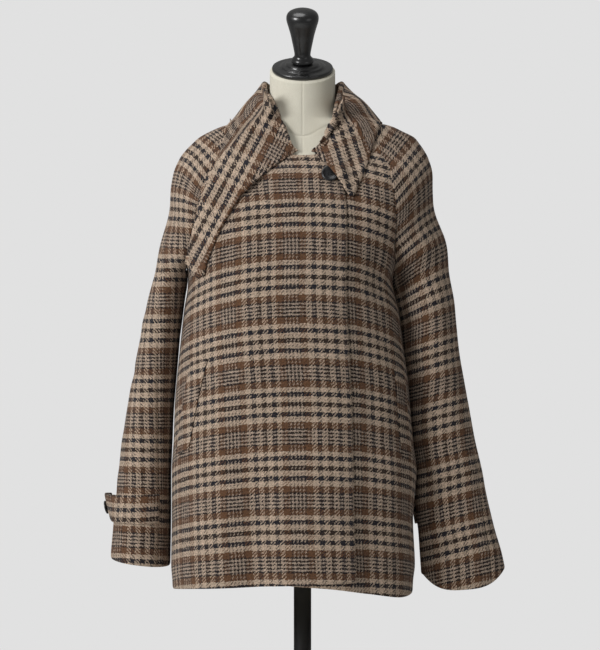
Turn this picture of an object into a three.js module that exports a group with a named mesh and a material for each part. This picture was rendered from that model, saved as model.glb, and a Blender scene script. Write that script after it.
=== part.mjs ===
// Short coat on a dress form. Millimetres, Z up, the front faces minus Y, the floor is Z = 0.
import * as THREE from 'three';
import { mergeVertices } from 'three/addons/utils/BufferGeometryUtils.js';

// Driving sizes
const CLOTH = 2.5;
const SEAM_GAP = 0.3;
const PAST = 0.02;
const LAP_LIFT = 4.2;
const WELT_THICK = 2.0;
const WELT_WIDTH = 34;
const WELT_GAP = 0.7;
const STRAP_THICK = 2.4;
const STRAP_GAP = 0.8;
const BUTTON_RADIUS = 14;
const BUTTON_THICK = 4.6;
const CUFF_BUTTON_RADIUS = 11;
const BUTTON_GAP = 0.6;
const POST_RADIUS = 14.3;
const BASE_RADIUS = 170;
const BASE_THICK = 12;
const FORM_BOTTOM = 735;
const NECK_TOP = 1499;
const NECK_TILT = 25;
const ROUND_POWER = 2.35;

// The front view that the coat's outline is drawn in: units right and down from its corner
const UNIT = 1.64;
const EYE = new THREE.Vector3(-4.1, -4200, 1083.4);
const VIEW_CENTRE = { right: 300, down: 325 };

const rad = THREE.MathUtils.degToRad;
const deg = THREE.MathUtils.radToDeg;
const lerp = THREE.MathUtils.lerp;
const clamp = THREE.MathUtils.clamp;
const soft = (value, from, to) => THREE.MathUtils.smoothstep(value, from, to);

function seen(right, down, y) {
  const scale = UNIT * (y - EYE.y) / -EYE.y;
  return new THREE.Vector3(
    EYE.x + (right - VIEW_CENTRE.right) * scale,
    y,
    EYE.z - (down - VIEW_CENTRE.down) * scale,
  );
}

// A smooth curve through a table's column that never runs past its values
function tableCurve(table, keyColumn, valueColumn) {
  const rows = table.slice().sort((p, q) => p[keyColumn] - q[keyColumn]);
  const keys = rows.map((row) => row[keyColumn]);
  const values = rows.map((row) => row[valueColumn]);
  const steps = keys.slice(1).map((key, i) => (values[i + 1] - values[i]) / (key - keys[i]));
  const slopes = values.map((value, i) => {
    if (i === 0) return steps[0];
    if (i === values.length - 1) return steps[i - 1];
    if (steps[i - 1] * steps[i] <= 0) return 0;
    return 2 * steps[i - 1] * steps[i] / (steps[i - 1] + steps[i]);
  });
  return (key) => {
    if (key <= keys[0]) return values[0];
    if (key >= keys[keys.length - 1]) return values[values.length - 1];
    let i = 0;
    while (key > keys[i + 1]) i += 1;
    const width = keys[i + 1] - keys[i];
    const t = (key - keys[i]) / width;
    const bend = t * t * (3 - 2 * t);
    const rise = (t * t * t - 2 * t * t + t) * width * slopes[i];
    const fall = (t * t * t - t * t) * width * slopes[i + 1];
    return values[i] + bend * (values[i + 1] - values[i]) + rise + fall;
  };
}

// Rings of the coat's body and shoulders: height, left and right half widths, front and back depths
const COAT_RINGS = [
  [640, 212, 180, 166, 184],
  [665, 213, 181, 165, 183],
  [693, 215, 184, 163, 180],
  [764, 214, 181, 159, 172],
  [796, 214, 183, 158, 168],
  [846, 214, 187, 155, 160],
  [895, 211, 181, 152, 153],
  [955, 209, 176, 149, 144],
  [993, 206, 173, 147, 138],
  [1042, 201, 166, 144, 132],
  [1106, 194, 158, 140, 126],
  [1154, 187.5, 147.5, 137, 122],
  [1190, 196, 159, 134, 120],
  [1223, 203, 171, 129, 118],
  [1269, 211, 192, 118, 114],
  [1300, 216, 207, 107, 109],
  [1330, 212, 213, 93, 102],
  [1357, 201, 206, 72, 92],
  [1370, 191, 199, 63, 86],
  [1380, 181, 192, 59, 81],
  [1390, 170, 184, 56, 76],
  [1400, 152, 165, 54, 71],
  [1410, 127, 142, 53, 67],
  [1416, 98, 104, 52, 65],
  [1421, 70, 70, 51, 63],
];
const coatLeft = tableCurve(COAT_RINGS, 0, 1);
const coatRight = tableCurve(COAT_RINGS, 0, 2);
const coatFront = tableCurve(COAT_RINGS, 0, 3);
const coatBack = tableCurve(COAT_RINGS, 0, 4);

// Soft folds of the body: turn at the top and at the hem, height where it starts, depth, half width in degrees
const BODY_FOLDS = [
  [-39, -24, 1060, -15, 11],
  [-56, -52, 1150, 5, 13],
  [-8, -3, 900, 3, 15],
  [41, 38, 1270, -7, 9],
  [62, 58, 1120, 5, 13],
  [118, 112, 1150, -9, 13],
  [146, 140, 1180, 7, 13],
  [172, 168, 1190, -9, 12],
  [198, 200, 1180, 7, 13],
  [226, 228, 1150, -10, 14],
];

function ringRadius(turn, left, right, front, back, power = ROUND_POWER) {
  const across = Math.abs(Math.sin(turn)) / (Math.sin(turn) < 0 ? left : right);
  const along = Math.abs(Math.cos(turn)) / (Math.cos(turn) < 0 ? back : front);
  return (across ** power + along ** power) ** (-1 / power);
}

function foldDepth(turn, height) {
  let sum = 0;
  for (const [atTop, atHem, start, depth, width] of BODY_FOLDS) {
    const down = clamp((start - height) / (start - 650), 0, 1);
    const centre = lerp(atTop, atHem, down);
    const away = ((deg(turn) - centre + 540) % 360) - 180;
    sum += depth * down ** 1.3 * Math.exp(-((away / width) ** 2));
  }
  return sum;
}

// A point of the coat's body: turn in degrees from the front towards plus X, height, and lift off the cloth
function bodyPoint(turnDegrees, height, lift = 0) {
  const turn = rad(turnDegrees);
  const radius = ringRadius(turn, coatLeft(height), coatRight(height), coatFront(height), coatBack(height))
    + foldDepth(turn, height) + lift;
  return new THREE.Vector3(radius * Math.sin(turn), -radius * Math.cos(turn), height);
}

// Turn and height of the place on the body's front that is seen at a place of the front view
function onFront(right, down) {
  let y = -100;
  let point;
  for (let i = 0; i < 30; i += 1) {
    point = seen(right, down, y);
    const half = point.x < 0 ? coatLeft(point.z) : coatRight(point.z);
    const share = Math.min(Math.abs(point.x) / half, 1) ** ROUND_POWER;
    y = lerp(y, -coatFront(point.z) * (1 - share) ** (1 / ROUND_POWER), 0.6);
  }
  return [deg(Math.atan2(point.x, -y)), point.z];
}

function spline(points, t) {
  const last = points.length - 1;
  const i = clamp(Math.floor(t), 0, last - 1);
  const f = t - i;
  const p = [points[Math.max(i - 1, 0)], points[i], points[i + 1], points[Math.min(i + 2, last)]];
  return p[1].map((value, k) => {
    const a = (i === 0 ? 1 : 0.5) * (p[2][k] - p[0][k]);
    const b = (i === last - 1 ? 1 : 0.5) * (p[3][k] - p[1][k]);
    const d = p[2][k] - value;
    return value + f * (a + f * (3 * d - 2 * a - b + f * (a + b - 2 * d)));
  });
}

// Front raglan seams in the front view, from the neck to the underarm
const RAGLAN_SEEN = {
  right: [[270, 131], [250, 139], [230, 149], [215, 163], [203, 184], [196, 209], [191, 234], [188.6, 259],
    [188.2, 282]],
  left: [[335, 129], [355, 139], [374, 149], [386, 159], [392, 180], [396, 205], [397, 229], [395.6, 255],
    [392.3, 282]],
};
// Back raglan seams, drawn for plus X: turn and height
const RAGLAN_BACK = [
  [142, 1413],
  [134, 1397],
  [127, 1377],
  [121, 1350],
  [115, 1316],
  [110, 1276],
  [104, 1232],
  [97, 1190],
  [90, 1154],
];
const UNDERARM = 8;
const sign = { right: -1, left: 1 };
const frontSeam = {};
const backSeam = {};
for (const side of ['right', 'left']) {
  frontSeam[side] = RAGLAN_SEEN[side].map(([right, down]) => onFront(right, down));
  frontSeam[side][UNDERARM] = [90 * sign[side], 1154];
  backSeam[side] = RAGLAN_BACK.map(([turn, height]) => [turn * sign[side], height]);
}

// Height of the coat's neckline round the neck
const NECKLINE = [
  [0, 1358],
  [14, 1359],
  [30, 1375],
  [46, 1404],
  [66, 1414],
  [90, 1419],
  [120, 1415],
  [142, 1413],
  [180, 1411],
];
const necklineHeight = tableCurve(NECKLINE, 0, 1);
function neckline(turn) {
  return necklineHeight(Math.abs(((turn + 540) % 360) - 180));
}

// One row of a grid from a function of u. Its first and last entries are the directions across its borders,
// taken on both sides of a border that another piece carries on from
function rowOf(place, columns, firstOpen = false, lastOpen = false) {
  const row = [place(PAST).sub(place(firstOpen ? 0 : -PAST))];
  for (let j = 0; j <= columns; j += 1) row.push(place(j / columns));
  row.push(place(lastOpen ? 1 : 1 + PAST).sub(place(1 - PAST)));
  return row;
}

function withDirections(grid) {
  return grid.map((row) => {
    const last = row.length - 1;
    return [row[1].clone().sub(row[0]), ...row, row[last].clone().sub(row[last - 1])];
  });
}

function normalsOf(wide, flip) {
  const rows = wide.length;
  const columns = wide[0].length - 2;
  const grid = wide.map((row) => row.slice(1, -1));
  return grid.map((row, i) => row.map((point, j) => {
    const down = grid[Math.min(i + 1, rows - 1)][j].clone().sub(grid[Math.max(i - 1, 0)][j]);
    let over = wide[i][j + 2].clone().sub(wide[i][j]);
    if (j === 0) over = wide[i][0].clone();
    if (j === columns - 1) over = wide[i][columns + 1].clone();
    return over.cross(down).multiplyScalar(flip ? -1 : 1).normalize();
  }));
}

// Outer faces of the walls made so far, for laying the collar on them
const outerFaces = [];
function noteFaces(grid, flip) {
  const note = (a, b, c) => {
    const triangle = flip ? new THREE.Triangle(a, c, b) : new THREE.Triangle(a, b, c);
    const centre = triangle.getMidpoint(new THREE.Vector3());
    const size = Math.max(...[a, b, c].map((p) => p.distanceTo(centre)));
    outerFaces.push({ triangle, centre, size });
  };
  for (let i = 0; i < grid.length - 1; i += 1) {
    for (let j = 0; j < grid[0].length - 1; j += 1) {
      note(grid[i][j], grid[i][j + 1], grid[i + 1][j + 1]);
      note(grid[i][j], grid[i + 1][j + 1], grid[i + 1][j]);
    }
  }
}

// A closed wall from a widened grid of points on its outer face
function wall(name, wide, thick, material, flip = false) {
  const rows = wide.length;
  const columns = wide[0].length - 2;
  const grid = wide.map((row) => row.slice(1, -1));
  const normals = normalsOf(wide, flip);
  noteFaces(grid, flip);
  const points = [];
  for (const face of [0, 1]) {
    grid.forEach((row, i) => row.forEach((point, j) => {
      points.push(point.clone().addScaledVector(normals[i][j], -thick * face));
    }));
  }
  const at = (face, i, j) => face * rows * columns + i * columns + j;
  const triangles = [];
  const quad = (a, b, c, d) => triangles.push(...(flip ? [a, c, b, a, d, c] : [a, b, c, a, c, d]));
  for (let i = 0; i < rows - 1; i += 1) {
    for (let j = 0; j < columns - 1; j += 1) {
      quad(at(0, i, j), at(0, i, j + 1), at(0, i + 1, j + 1), at(0, i + 1, j));
      quad(at(1, i, j), at(1, i + 1, j), at(1, i + 1, j + 1), at(1, i, j + 1));
    }
  }
  for (let j = 0; j < columns - 1; j += 1) {
    quad(at(1, 0, j), at(1, 0, j + 1), at(0, 0, j + 1), at(0, 0, j));
    quad(at(0, rows - 1, j), at(0, rows - 1, j + 1), at(1, rows - 1, j + 1), at(1, rows - 1, j));
  }
  for (let i = 0; i < rows - 1; i += 1) {
    quad(at(0, i, 0), at(0, i + 1, 0), at(1, i + 1, 0), at(1, i, 0));
    quad(at(1, i, columns - 1), at(1, i + 1, columns - 1), at(0, i + 1, columns - 1), at(0, i, columns - 1));
  }
  return mesh(name, points, triangles, material);
}

function mesh(name, points, triangles, material) {
  const geometry = new THREE.BufferGeometry();
  geometry.setAttribute('position', new THREE.Float32BufferAttribute(points.flatMap((p) => p.toArray()), 3));
  geometry.setIndex(triangles);
  const merged = mergeVertices(geometry, 1e-4);
  merged.computeVertexNormals();
  const result = new THREE.Mesh(merged, material);
  result.name = name;
  return result;
}

// Draws a border column or row back from a seam
function trimmed(grid, amounts) {
  const rows = grid.length;
  const columns = grid[0].length;
  const pull = (i, j, ii, jj, amount) => {
    const way = grid[ii][jj].clone().sub(grid[i][j]);
    grid[i][j].addScaledVector(way.normalize(), amount);
  };
  for (let i = 0; i < rows; i += 1) {
    if (amounts.first) pull(i, 1, i, 2, amounts.first);
    if (amounts.last) pull(i, columns - 2, i, columns - 3, amounts.last);
  }
  for (let j = 1; j < columns - 1; j += 1) {
    if (amounts.top) pull(0, j, 1, j, amounts.top);
  }
  return grid;
}

function paint(colour, roughness, metalness = 0) {
  return new THREE.MeshStandardMaterial({ color: colour, roughness, metalness });
}

// Rows down a panel: sixteen steps along the raglan seam, then the side seam
const RAGLAN_ROWS = 14;
const SIDE_ROWS = 10;
const PANEL_ROWS = RAGLAN_ROWS + SIDE_ROWS;

function sideEdge(seam, row, hem) {
  if (row <= RAGLAN_ROWS) return spline(seam, row * UNDERARM / RAGLAN_ROWS);
  const [turn, height] = seam[UNDERARM];
  return [turn, lerp(height, hem, (row - RAGLAN_ROWS) / SIDE_ROWS)];
}

// A panel between two side edges, the neckline and the hem, worked out over turn and height
function panel(first, last, top, bottom, columns, lift) {
  const grid = [];
  const corners = [first(0), last(0), first(PANEL_ROWS), last(PANEL_ROWS)];
  for (let i = 0; i <= PANEL_ROWS; i += 1) {
    const a = first(i);
    const b = last(i);
    const v = (corners[0][1] - a[1]) / (corners[0][1] - corners[2][1]);
    grid.push(rowOf((u) => {
      const t = top(u);
      const d = bottom(u);
      const place = [0, 1].map((k) => (1 - u) * a[k] + u * b[k] + (1 - v) * t[k] + v * d[k]
        - (1 - u) * (1 - v) * corners[0][k] - u * (1 - v) * corners[1][k]
        - (1 - u) * v * corners[2][k] - u * v * corners[3][k]);
      return bodyPoint(place[0], place[1], lift(place[0], place[1]));
    }, columns));
  }
  return grid;
}

// Hem heights over the turn
const HEM_RIGHT = tableCurve([[-90, 652], [-72, 658], [-50, 665], [-20, 671], [0, 674], [40, 677]], 0, 1);
const HEM_LEFT = tableCurve([[-45, 680], [0, 671], [16, 667], [38, 657], [60, 648], [80, 648], [90, 652]], 0, 1);
const HEM_BACK = tableCurve([[90, 652], [130, 650], [180, 648], [230, 650], [270, 652]], 0, 1);
// Turn of the front edges over the height
const EDGE_RIGHT = tableCurve([[1404, 46], [1359, 40], [1298, 33.4], [1200, 30.4], [1124, 29.2], [1044, 29.6],
  [965, 30.3], [806, 29.8], [677, 30.3]], 0, 1);
const EDGE_LEFT = tableCurve([[1404, -40], [1305, -32], [1124, -28], [928, -28], [677, -26]], 0, 1);

const lapLift = (turn, height) => (LAP_LIFT + soft(height, 1290, 1350)) * soft(turn, -64, -46);

function frontPanel(side) {
  const over = side === 'right';
  const hem = over ? HEM_RIGHT : HEM_LEFT;
  const edge = over ? EDGE_RIGHT : EDGE_LEFT;
  const seam = frontSeam[side];
  const hemSide = hem(90 * sign[side]);
  const topHeight = neckline(seam[0][0]);
  seam[0][1] = topHeight;
  const first = (row) => sideEdge(seam, row, hemSide);
  const edgeTop = over ? 46 : -38;
  const edgeTopHeight = neckline(edgeTop);
  const hemEdge = hem(edge(677));
  const last = (row) => {
    const share = (first(0)[1] - first(row)[1]) / (first(0)[1] - hemSide);
    const height = lerp(edgeTopHeight, hemEdge, share);
    const turn = row === 0 ? edgeTop : edge(height);
    return [turn, height];
  };
  const top = (u) => {
    const turn = lerp(seam[0][0], edgeTop, u);
    return [turn, neckline(turn)];
  };
  const bottom = (u) => {
    const turn = lerp(90 * sign[side], last(PANEL_ROWS)[0], u);
    return [turn, hem(turn)];
  };
  const lift = over ? lapLift : () => 0;
  return panel(first, last, top, bottom, over ? 18 : 16, lift);
}

function backPanel() {
  const first = (row) => sideEdge(backSeam.left, row, HEM_BACK(90));
  const last = (row) => {
    const [turn, height] = sideEdge(backSeam.right, row, HEM_BACK(270));
    return [turn + 360, height];
  };
  const top = (u) => {
    const turn = lerp(142, 218, u);
    return [turn, neckline(turn)];
  };
  const bottom = (u) => {
    const turn = lerp(90, 270, u);
    return [turn, HEM_BACK(turn)];
  };
  return panel(first, last, top, bottom, 20, () => 0);
}

// Sleeves. Outer line of the raglan part, height and half width from the ring table
const CAP_HEIGHTS = [1419, 1415, 1404, 1386, 1357, 1321, 1276, 1224, 1166];
// Tube part: down, inner and outer edge in the front view, then middle, front depth and back depth
const TUBES = {
  right: [
    [300, 184.9, 148, 4, 60, 58],
    [321, 182.3, 144, 6, 61, 60],
    [350, 179.3, 138, 8, 61, 62],
    [380, 176.3, 132, 10, 60, 62],
    [410, 173.9, 127, 10, 60, 61],
    [440, 172.6, 122, 8, 60, 60],
    [470, 171.3, 119, 6, 60, 59],
    [490, 171.2, 117, 4, 60, 58],
    [510, 171.2, 114.5, 3, 59, 57],
    [530, 171, 113, 2, 58, 56],
    [550, 170.6, 111.2, 2, 57, 56],
    [562, 170.3, 111, 2, 57, 56],
  ],
  left: [
    [300, 397.8, 454, 4, 60, 58],
    [321, 401.9, 456, 6, 60, 60],
    [350, 405, 459, 8, 59, 62],
    [380, 408.9, 464, 10, 57, 62],
    [410, 411.3, 469.5, 10, 55, 60],
    [440, 414.2, 475, 8, 53, 58],
    [470, 417.9, 482, 6, 50, 56],
    [490, 417, 485.5, 4, 48, 53],
    [510, 416.6, 490, 2, 46, 50],
    [530, 418, 495, 0, 44, 47],
    [550, 419.4, 501, 0, 42, 44],
    [572, 421, 505, 0, 40, 42],
  ],
};
// Share of the way round, from the inner edge over the front, where the overarm seam lies
const SEAM_SHARE = {
  right: [0.5, 0.5, 0.5, 0.49, 0.47, 0.44, 0.41, 0.38, 0.35, 0.31, 0.28, 0.24, 0.205, 0.18, 0.16, 0.145, 0.14,
    0.138, 0.136, 0.135, 0.135],
  left: [0.5, 0.5, 0.5, 0.5, 0.5, 0.5, 0.5, 0.5, 0.5, 0.5, 0.5, 0.49, 0.48, 0.45, 0.43, 0.42, 0.41, 0.4, 0.39,
    0.38, 0.37],
};
// How far the underarm seam has turned to the back of the arm, as a share of the way round
const SEAM_TURN = {
  right: [0, 0, 0, 0, 0, 0, 0, 0, 0, 0.04, 0.09, 0.15, 0.2, 0.24, 0.27, 0.29, 0.3, 0.3, 0.3, 0.3, 0.3],
  left: [0, 0, 0, 0, 0, 0, 0, 0, 0, 0, 0, 0, 0, 0, 0, 0, 0, 0, 0, 0, 0],
};
const ROUND_SHARE = [0, 0, 0, 0, 0, 0.35, 0.7, 1, 1];

function bezier(a, b, c, d, t) {
  const s = 1 - t;
  return a.clone().multiplyScalar(s * s * s).addScaledVector(b, 3 * s * s * t)
    .addScaledVector(c, 3 * s * t * t).addScaledVector(d, t * t * t);
}

// A loop round the sleeve from the front seam over the outer line to the back seam
function loop(a, frontWay, b, frontPull, backPull, c, backWay, share) {
  const front = share <= 0.5;
  const start = front ? a : c;
  const way = front ? frontWay : backWay;
  const side = new THREE.Vector3(0, front ? -1 : 1, 0);
  const pull = front ? frontPull : backPull;
  return bezier(start, start.clone().add(way), b.clone().addScaledVector(side, pull), b,
    front ? share * 2 : (1 - share) * 2);
}

function capLoop(side, step, share) {
  const t = Math.min(step, UNDERARM);
  const [frontTurn, frontHeight] = spline(frontSeam[side], t);
  const [backTurn, backHeight] = spline(backSeam[side], t);
  const height = spline(CAP_HEIGHTS.map((h) => [h]), t)[0];
  const front = share <= 0.5;
  const near = front ? share * 2 : (1 - share) * 2;
  const [turn, edge] = front ? [frontTurn, frontHeight] : [backTurn, backHeight];
  const bend = (1 - near) ** 1.5;
  const dome = bodyPoint(lerp(turn, 90 * sign[side], near), lerp(height, edge, bend));
  const round = spline(ROUND_SHARE.map((r) => [r]), t)[0];
  if (round <= 0.001) return dome;
  const a = bodyPoint(frontTurn, frontHeight);
  const c = bodyPoint(backTurn, backHeight);
  const outer = tableCurve(CAP_OUTER[side], 0, 1)(height);
  const b = new THREE.Vector3(outer, 4, height);
  const late = soft(t, 6, 8.4);
  const reach = Math.abs(b.x - a.x);
  const frontWay = new THREE.Vector3(sign[side] * reach * lerp(0.5, 0.1, late), -lerp(4, 70, late), 4);
  const backWay = new THREE.Vector3(sign[side] * reach * lerp(0.5, 0.1, late), lerp(4, 70, late), 4);
  const pulls = [lerp(0.62 * Math.abs(a.y - 4), 80, late), lerp(0.62 * Math.abs(c.y - 4), 78, late)];
  const tube = loop(a, frontWay, b, pulls[0], pulls[1], c, backWay, share);
  return dome.lerp(tube, round);
}

// Outline of the sleeves' raglan part: height and x
const CAP_OUTER = {
  right: [[1404, -145], [1386, -175], [1357, -201], [1321, -214], [1276, -220], [1224, -231], [1166, -243],
    [1157, -246]],
  left: [[1404, 158], [1386, 187], [1357, 206], [1321, 216], [1276, 224], [1224, 234], [1166, 241],
    [1157, 243]],
};

function tubeLoop(side, row, share) {
  const [down, inner, outer, middle, front, back] = row;
  const a = seen(inner, down, middle);
  const b = seen(outer, down, middle);
  const way = (dy) => new THREE.Vector3(0, dy * 4 / 3, -Math.abs(dy) * 0.04);
  return loop(a, way(-front), b, front * 4 / 3, back * 4 / 3, a, way(back), share);
}

// Cuff ends: inner edge, outer edge and lowest front place in the front view
const CUFF_ENDS = {
  right: { inner: [170.3, 564.5], outer: [111.2, 557.5], sagFront: 2, sagBack: 12 },
  left: { inner: [422, 573.5], outer: [505, 567.5], sagFront: 27, sagBack: 15 },
};

function sleevePoint(side, step, share) {
  const rows = TUBES[side];
  const last = UNDERARM + rows.length;
  if (step <= UNDERARM) return capLoop(side, step, share);
  const at = (k) => {
    if (k <= UNDERARM) return capLoop(side, Math.max(k, 0), share);
    const row = rows[Math.min(k, last) - UNDERARM - 1];
    const point = tubeLoop(side, row, share);
    if (k < last) return point;
    const end = CUFF_ENDS[side];
    const across = clamp((point.x - seen(...end.inner, 0).x)
      / (seen(...end.outer, 0).x - seen(...end.inner, 0).x), 0, 1);
    const level = lerp(seen(...end.inner, 0).z, seen(...end.outer, 0).z, across);
    const sag = share < 0.5 ? end.sagFront : end.sagBack;
    point.z = level - sag * (1 - Math.abs(2 * across - 1) ** 3.2);
    return point;
  };
  const i = clamp(Math.floor(step), UNDERARM, last - 1);
  const f = step - i;
  const keys = [Math.max(i - 1, 0), i, i + 1, Math.min(i + 2, last)].map((k) => [at(k)]
    .map((p) => p.toArray())[0]);
  const single = i > UNDERARM ? 0 : 1 - soft(Math.min(share, 1 - share), 0.02, 0.16);
  const value = keys[1].map((v, k) => {
    const a = lerp(0.5 * (keys[2][k] - keys[0][k]), keys[2][k] - v, single);
    const b = (i === last - 1 ? 1 : 0.5) * (keys[3][k] - v);
    const d = keys[2][k] - v;
    return v + f * (a + f * (3 * d - 2 * a - b + f * (a + b - 2 * d)));
  });
  return new THREE.Vector3(...value);
}

const TUBE_ROWS = 14;

function sleeveHalf(side, half) {
  const grid = [];
  const last = UNDERARM + TUBES[side].length;
  const columns = { right: { front: 9, back: 9 }, left: { front: 10, back: 9 } }[side][half];
  for (let i = 0; i <= RAGLAN_ROWS + TUBE_ROWS; i += 1) {
    const step = i <= RAGLAN_ROWS
      ? i * UNDERARM / RAGLAN_ROWS
      : lerp(UNDERARM, last, (i - RAGLAN_ROWS) / TUBE_ROWS);
    const split = spline(SEAM_SHARE[side].map((s) => [s]), step)[0];
    const turnedBack = spline(SEAM_TURN[side].map((s) => [s]), step)[0];
    const open = i <= RAGLAN_ROWS;
    grid.push(rowOf((u) => {
      const share = half === 'front' ? lerp(-turnedBack, split, u) : lerp(split, 1 - turnedBack, u);
      return sleevePoint(side, step, open ? clamp(share, 0, 1) : (share + 1) % 1);
    }, columns, open && half === 'front', open && half === 'back'));
  }
  return grid;
}

const coatCloth = paint(0x8f7f70, 0.95);
const blackHorn = paint(0x17171a, 0.35);
const formCloth = paint(0xd9d3c4, 0.85);
const blackLacquer = paint(0x161618, 0.3);
const steel = paint(0x1c1c1e, 0.4, 0.5);

const group = new THREE.Group();
group.name = 'short_coat_on_dress_form';
const seamEdges = { first: SEAM_GAP, last: SEAM_GAP, top: SEAM_GAP };
const frontEdges = { first: SEAM_GAP, top: SEAM_GAP };

const frontRight = wall('front_right', trimmed(frontPanel('right'), frontEdges), CLOTH, coatCloth, true);
const frontLeft = wall('front_left', trimmed(frontPanel('left'), frontEdges), CLOTH, coatCloth);
const back = wall('back', trimmed(backPanel(), seamEdges), CLOTH, coatCloth, true);
const sleeves = [];
for (const side of ['right', 'left']) {
  for (const half of ['front', 'back']) {
    const grid = trimmed(sleeveHalf(side, half), seamEdges);
    // The two halves meet at an angle just below the underarm, so they get more room there
    for (let i = RAGLAN_ROWS - 2; i <= RAGLAN_ROWS + 3; i += 1) {
      const j = half === 'front' ? 1 : grid[i].length - 2;
      const next = grid[i][half === 'front' ? j + 1 : j - 1];
      grid[i][j].addScaledVector(next.clone().sub(grid[i][j]).normalize(), 0.6);
    }
    sleeves.push(wall(`sleeve_${side}_${half}`, grid, CLOTH, coatCloth, side === 'left'));
  }
}
group.add(frontRight, frontLeft, back, ...sleeves);

// The nearest place of the coat behind a place of the front view
const under = [frontRight, frontLeft, back, ...sleeves];
const caster = new THREE.Raycaster();
function coatBehind(right, down) {
  const way = seen(right, down, 0).sub(EYE).normalize();
  caster.set(EYE, way);
  const hits = caster.intersectObjects(under, false);
  return hits.length ? hits[0].point : null;
}

// The neck button rests on the overlapping front, half under the collar
const NECK_BUTTON = [331, 172];
const neckPlace = coatBehind(...NECK_BUTTON);
const neckAround = [[-4, 0], [4, 0], [0, -4], [0, 4]].map(([r, d]) => coatBehind(NECK_BUTTON[0] + r,
  NECK_BUTTON[1] + d));
const neckAway = neckAround[1].clone().sub(neckAround[0]).cross(neckAround[2].clone().sub(neckAround[3]))
  .normalize();
const neckButton = button('neck_button', BUTTON_RADIUS, BUTTON_THICK,
  neckPlace.clone().addScaledVector(neckAway, BUTTON_GAP), neckAway, true);
group.add(neckButton);

// Collar. Each column runs from the neckline up to the fold and down the leaf to its edge.
// Front columns: turn at the neckline, fold (right, down, y), three places of the leaf in the front view and
// how far the leaf's edge stands off the coat
const LEAF_LEFT = [
  [13, [313.5, 149.5, -67], [325, 164], [339, 180.5], [349.5, 195], 8],
  [30, [321, 142, -66], [335, 158], [347, 175], [355, 192.5], 7],
  [46, [328.5, 133, -60], [342, 149], [353, 165], [361, 178.5], 5],
  [62, [332.5, 120, -50], [346, 135], [357, 149], [367, 163], 4],
  [74, [337, 107, -36], [350, 119], [362, 131], [373, 146], 4],
];
const LEAF_RIGHT = [
  [-13, [296.5, 149.5, -67], [268, 170], [243, 192], [204, 275], 4],
  [-24, [292, 144, -67], [264, 165], [236, 197], [196, 277], 4],
  [-36, [288, 137, -64], [260, 160], [230, 195], [189, 267], 4],
  [-48, [284, 129, -58], [257, 153], [226, 185], [191.5, 240], 4],
  [-60, [280, 119, -50], [254, 143], [226, 168], [198, 209], 4],
  [-70, [275.5, 108, -40], [254, 130], [232, 151], [208, 180], 4],
  [-78, [270, 97, -26], [254, 116], [238, 132], [220, 152], 4],
];
// Columns over the shoulders and back: turn, fold and three places of the leaf as x, y, z
const LEAF_BACK = [
  [84, [62, -15, 1465], [95, -14, 1452], [112, -17, 1433], [126, -22, 1412]],
  [98, [66, 8, 1483], [96, 8, 1453], [114, 8, 1434], [130, 8, 1415]],
  [116, [59, 35, 1482], [84, 44, 1450], [99, 54, 1428], [112, 64, 1404]],
  [138, [46, 54, 1478], [58, 74, 1447], [68, 88, 1420], [77, 102, 1388]],
  [160, [24, 65, 1477], [31, 88, 1445], [36, 101, 1416], [40, 113, 1382]],
  [180, [0, 69, 1477], [0, 92, 1444], [0, 105, 1415], [0, 117, 1380]],
  [200, [-24, 65, 1477], [-31, 88, 1445], [-36, 101, 1416], [-40, 113, 1382]],
  [222, [-46, 54, 1478], [-57, 74, 1447], [-66, 88, 1420], [-74, 102, 1388]],
  [244, [-59, 35, 1482], [-80, 44, 1450], [-94, 54, 1428], [-106, 64, 1404]],
  [262, [-64, 8, 1483], [-88, 8, 1453], [-105, 8, 1433], [-121, 8, 1412]],
  [274, [-61, -13, 1467], [-87, -10, 1452], [-103, -14, 1431], [-117, -18, 1410]],
];
const LEAF_STEPS = 8;
const STAND_GAP = 3;

// The place of a leaf in front of the coat: as far forward as asked, and always clear of the coat
function laid(right, down, wanted, off) {
  const hit = coatBehind(right, down);
  const y = hit ? Math.min(wanted, hit.y - off) : wanted;
  return seen(right, down, y);
}

function standBase(turn) {
  const base = bodyPoint(turn, neckline(turn));
  base.z += STAND_GAP;
  base.x -= (CLOTH + 0.6) * Math.sin(rad(turn));
  base.y += (CLOTH + 0.6) * Math.cos(rad(turn));
  return base;
}

function leafColumn(turn, fold, places, off) {
  const base = standBase(turn);
  const away = new THREE.Vector3(Math.sin(rad(turn)), -Math.cos(rad(turn)), 0);
  const top = off ? seen(fold[0], fold[1], fold[2]) : new THREE.Vector3(...fold);
  const rise = top.z - base.z;
  const bend = Math.min(5, rise * 0.42);
  const inner = top.clone().addScaledVector(away, -bend);
  inner.z -= bend;
  const middle = base.clone().lerp(inner, 0.55).addScaledVector(away, -Math.min(3, rise * 0.05));
  const outer = top.clone().addScaledVector(away, bend);
  outer.z -= bend;
  let leaf;
  if (off) {
    const edge = coatBehind(places[2][0], places[2][1]);
    const edgeY = edge ? edge.y - off : fold[2];
    leaf = places.map((place, k) => laid(place[0], place[1], lerp(fold[2] - 4, edgeY, (k + 1) / 3), off));
  } else {
    leaf = places.map((place) => new THREE.Vector3(...place));
  }
  const keys = [base, middle, inner, top, outer].map((p) => p.toArray());
  const points = [0, 1, 2, 2.5, 3, 3.5, 4].map((t) => spline(keys, t));
  const fall = [outer, ...leaf].map((p) => p.toArray());
  for (let i = 1; i <= LEAF_STEPS; i += 1) points.push(spline(fall, i * 3 / LEAF_STEPS));
  return points.map((p) => new THREE.Vector3(...p));
}

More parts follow.
